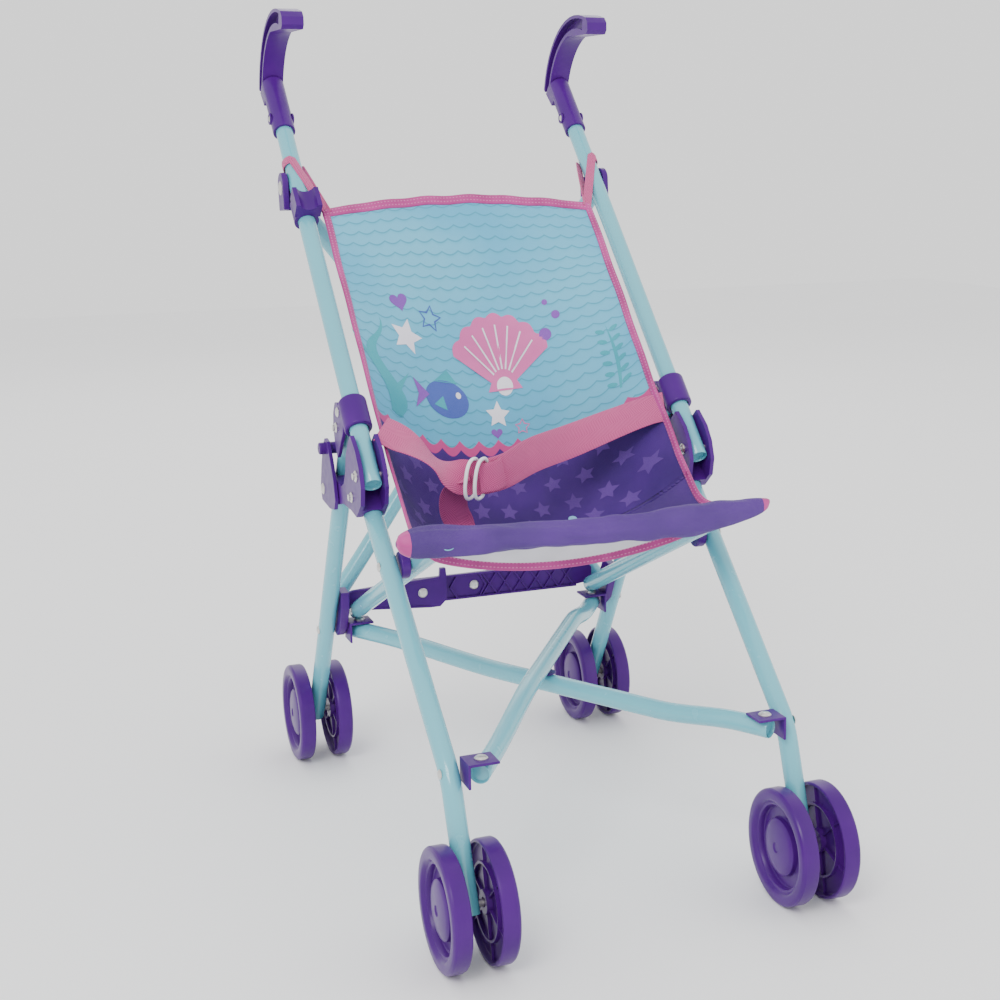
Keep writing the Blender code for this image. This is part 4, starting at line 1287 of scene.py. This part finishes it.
def make_lap_belt():
    """Webbing across the lap: a twisted left end and a stitched right end."""
    bm = bmesh.new()
    left = [(-105, 191.0, 291.0), (-96, 186.0, 286.0), (-84, 178.0, 278.0), (-73, 173.0, 268.0),
            (-64, 170.0, 261.0), (-54, 168.0, 258.0), (-42, 167.0, 257.5)]
    turns = [(0, 0.76, 0.65), (0, 0.74, 0.67), (0.2, 0.9, 0.45), (0.3, 1.0, 0.2), (0.3, 0.7, 0.7),
             (0, 0.1, 1), (0, 0, 1)]
    webbing_strap(bm, left, turns, BELT_WIDTH)
    right = [(-50, 166.0, 257.5), (-38, 165.0, 258.5), (-24, 168.0, 261.0), (0, 182.0, 267.0),
             (35, 199.0, 271.5), (70, 206.0, 280.0), (94, 203.0, 287.5), (105.5, 197.0, 291.0)]
    turns = [(0, 0, 1), (0, 0.05, 1), (0, 0.1, 1), (0, 0.3, 0.95), (0, 0.5, 0.85), (0, 0.66, 0.75),
             (0, 0.7, 0.7), (0, 0.72, 0.69)]
    webbing_strap(bm, right, turns, BELT_WIDTH)
    fold = [(-46, 162.5, 257.5), (-36, 161.5, 258.5), (-28, 164.5, 260.5)]
    centres = curve_through([place(*point) for point in fold])
    strap(bm, centres, [Vector((0, 0.05, 1))] * len(centres), STRAP_WIDTH, WEBBING_THICK)
    crumple(finish_piece("lap_belt_webbing", bm, WEBBING, "left_handle", ["lap_belt"], 60.0))


def make_belt_rings():
    """The two white rings that the belt runs through."""
    bm = bmesh.new()
    steps, sides = 48, 14
    for x, a in ((-51.0, 164.0), (-45.0, 162.0)):
        route = []
        for k in range(steps):
            t = 2 * math.pi * k / steps
            c, s = math.cos(t), math.sin(t)
            wide = math.copysign(abs(c) ** 0.8, c) * 6.0
            tall = math.copysign(abs(s) ** 0.8, s) * 13.4
            route.append(place(x + wide + tall * 0.12, a + wide * 0.9, RING_LEVEL + tall))
        rings = []
        for i, point in enumerate(route):
            tangent = (route[(i + 1) % steps] - route[i - 1]).normalized()
            outward = (point - place(x, a, RING_LEVEL)).normalized()
            outward = (outward - tangent * outward.dot(tangent)).normalized()
            other = tangent.cross(outward)
            rings.append([point + (outward * math.cos(q) + other * math.sin(q)) * RING_WIRE * MM
                          for q in (2 * math.pi * m / sides for m in range(sides))])
        loft(bm, rings, closed=True)
    bmesh.ops.recalc_face_normals(bm, faces=bm.faces)
    crumple(finish_piece("lap_belt_rings", bm, RING, "left_handle", (), 60.0))


def make_crotch_strap():
    """Webbing from the rings down to the pan."""
    bm = bmesh.new()
    down = [(-52, 171.0, 262.0), (-57, 176.0, 254.0), (-59, 180.0, 244.0), (-57, 186.0, 232.0),
            (-52, 190.0, 222.0), (-50, 190.0, 214.0)]
    turns = [(0.4, 0.4, 0.9), (0.8, 0.3, 0.5), (1, 0.1, 0), (1, 0, 0), (1, 0, 0), (1, 0, 0)]
    webbing_strap(bm, down, turns, STRAP_WIDTH)
    crumple(finish_piece("crotch_strap_webbing", bm, WEBBING, "left_seat_rail",
                         ["crotch_strap"], 60.0))


def make_corner_loops():
    """Loops of narrow webbing that hang the sling's top corners on the handles."""
    for side_name, side in SIDES:
        bm = bmesh.new()
        up = place(side * SIDE_X, *HANDLE_HIGH) - place(side * SIDE_X, *HANDLE_LOW)
        up.normalize()
        centre = place(side * SIDE_X, *HANDLE_LOW) + up * 288 * MM
        over = up.cross(Vector((1, 0, 0))).normalized()
        ring = []
        for k in range(41):
            t = math.radians(150 - 225 * k / 40)
            ring.append(centre + (Vector((1, 0, 0)) * side * math.cos(t) + over * math.sin(t)) * 7.4 * MM)
        corner = seat_point(side * 0.97, 3.0)
        route = [corner] + straight(corner, ring[0], 6)[1:-1] + ring + straight(ring[-1], corner, 6)[1:]
        strap(bm, route, [up] * len(route), 6.8, 1.0, sides=16)
        finish_piece(f"seat_loop_{side_name}_webbing", bm, WEBBING, f"{side_name}_handle",
                     [f"seat_loop_{side_name}"], 60.0)


def make_soft_goods():
    """The sling, its trimmings and the belt."""
    back = make_sheet("seat_back_cloth", 0.0, CREASE + OVERLAP, [PRINT, LINING],
                      "left_handle", ["seat_back"])
    crumple(back)
    pan = make_sheet("seat_pan_cloth", CREASE - OVERLAP, 325.0, [VIOLET, LINING],
                     "left_seat_rail", ["seat_pan"])
    crumple(pan)
    make_binding("seat_back_binding", 0.0, CREASE + OVERLAP, True, "left_handle")
    make_binding("seat_pan_binding", CREASE - OVERLAP, 318.0, False, "left_seat_rail")
    make_front_sleeve()
    make_hem()
    make_lap_belt()
    make_belt_rings()
    make_crotch_strap()
    make_corner_loops()
    make_motifs()


# ---------------------------------------------------------------- stage

def make_stage():
    """Pale floor, white surroundings and three soft lights."""
    bm = bmesh.new()
    for x, y in ((-3, -3), (3, -3), (3, 4), (-3, 4)):
        bm.verts.new((x, y, 0))
    bm.faces.new(bm.verts)
    floor = temporary(bm, "floor")
    floor.data.materials.append(floor_look())
    world = bpy.data.worlds.new("studio")
    world.use_nodes = True
    world.node_tree.nodes["Background"].inputs["Color"].default_value = (1.0, 1.0, 1.0, 1)
    world.node_tree.nodes["Background"].inputs["Strength"].default_value = 1.35
    bpy.context.scene.world = world
    for name, at, size, power in (("key", (-1.3, -1.6, 1.9), 1.0, 34.0), ("fill", (1.8, -1.2, 1.2), 2.0, 6.0),
                                  ("rim", (0.4, 1.9, 1.7), 1.6, 10.0)):
        light = bpy.data.lights.new(name, "AREA")
        light.size = size
        light.energy = power
        lamp = bpy.data.objects.new(name, light)
        lamp.location = at
        lamp.rotation_euler = (Vector((0, 0, 0.25)) - Vector(at)).to_track_quat("-Z", "Y").to_euler()
        bpy.context.scene.collection.objects.link(lamp)


def make_camera():
    """Camera at the height and angle the object is seen from."""
    yaw, pitch, roll = math.radians(21.34), math.radians(11.91), math.radians(-0.64)
    forward = Vector((math.sin(yaw) * math.cos(pitch), math.cos(yaw) * math.cos(pitch), -math.sin(pitch)))
    level = forward.cross(Vector((0, 0, 1))).normalized()
    upright = level.cross(forward)
    right = level * math.cos(roll) + upright * math.sin(roll)
    up = upright * math.cos(roll) - level * math.sin(roll)
    data = bpy.data.cameras.new("camera")
    data.lens = 57.70
    data.sensor_width = 36.0
    data.shift_x = -0.0671
    data.shift_y = -0.0105
    data.clip_start = 0.05
    camera = bpy.data.objects.new("camera", data)
    turn = Matrix((right, up, -forward)).transposed().to_4x4()
    camera.matrix_world = Matrix.Translation((-0.3727, -1.0374, 0.4703)) @ turn
    bpy.context.scene.collection.objects.link(camera)
    bpy.context.scene.camera = camera


for one_name, one_side in SIDES:
    make_side_tubes(one_name, one_side)
    make_grip(one_name, one_side)
    for one_end in ("front", "rear"):
        for one_twin, one_shift in (("outer", 1), ("inner", -1)):
            make_wheel(one_name, one_side, one_end, one_twin, one_shift)
    make_collar(one_name, one_side)
    make_knee_bracket(one_name, one_side)
    make_lever(one_name, one_side)
    make_top_bracket(one_name, one_side)
make_braces()
make_lock_bar()
make_copied_fittings()
make_rivets()
make_soft_goods()
make_stage()
make_camera()
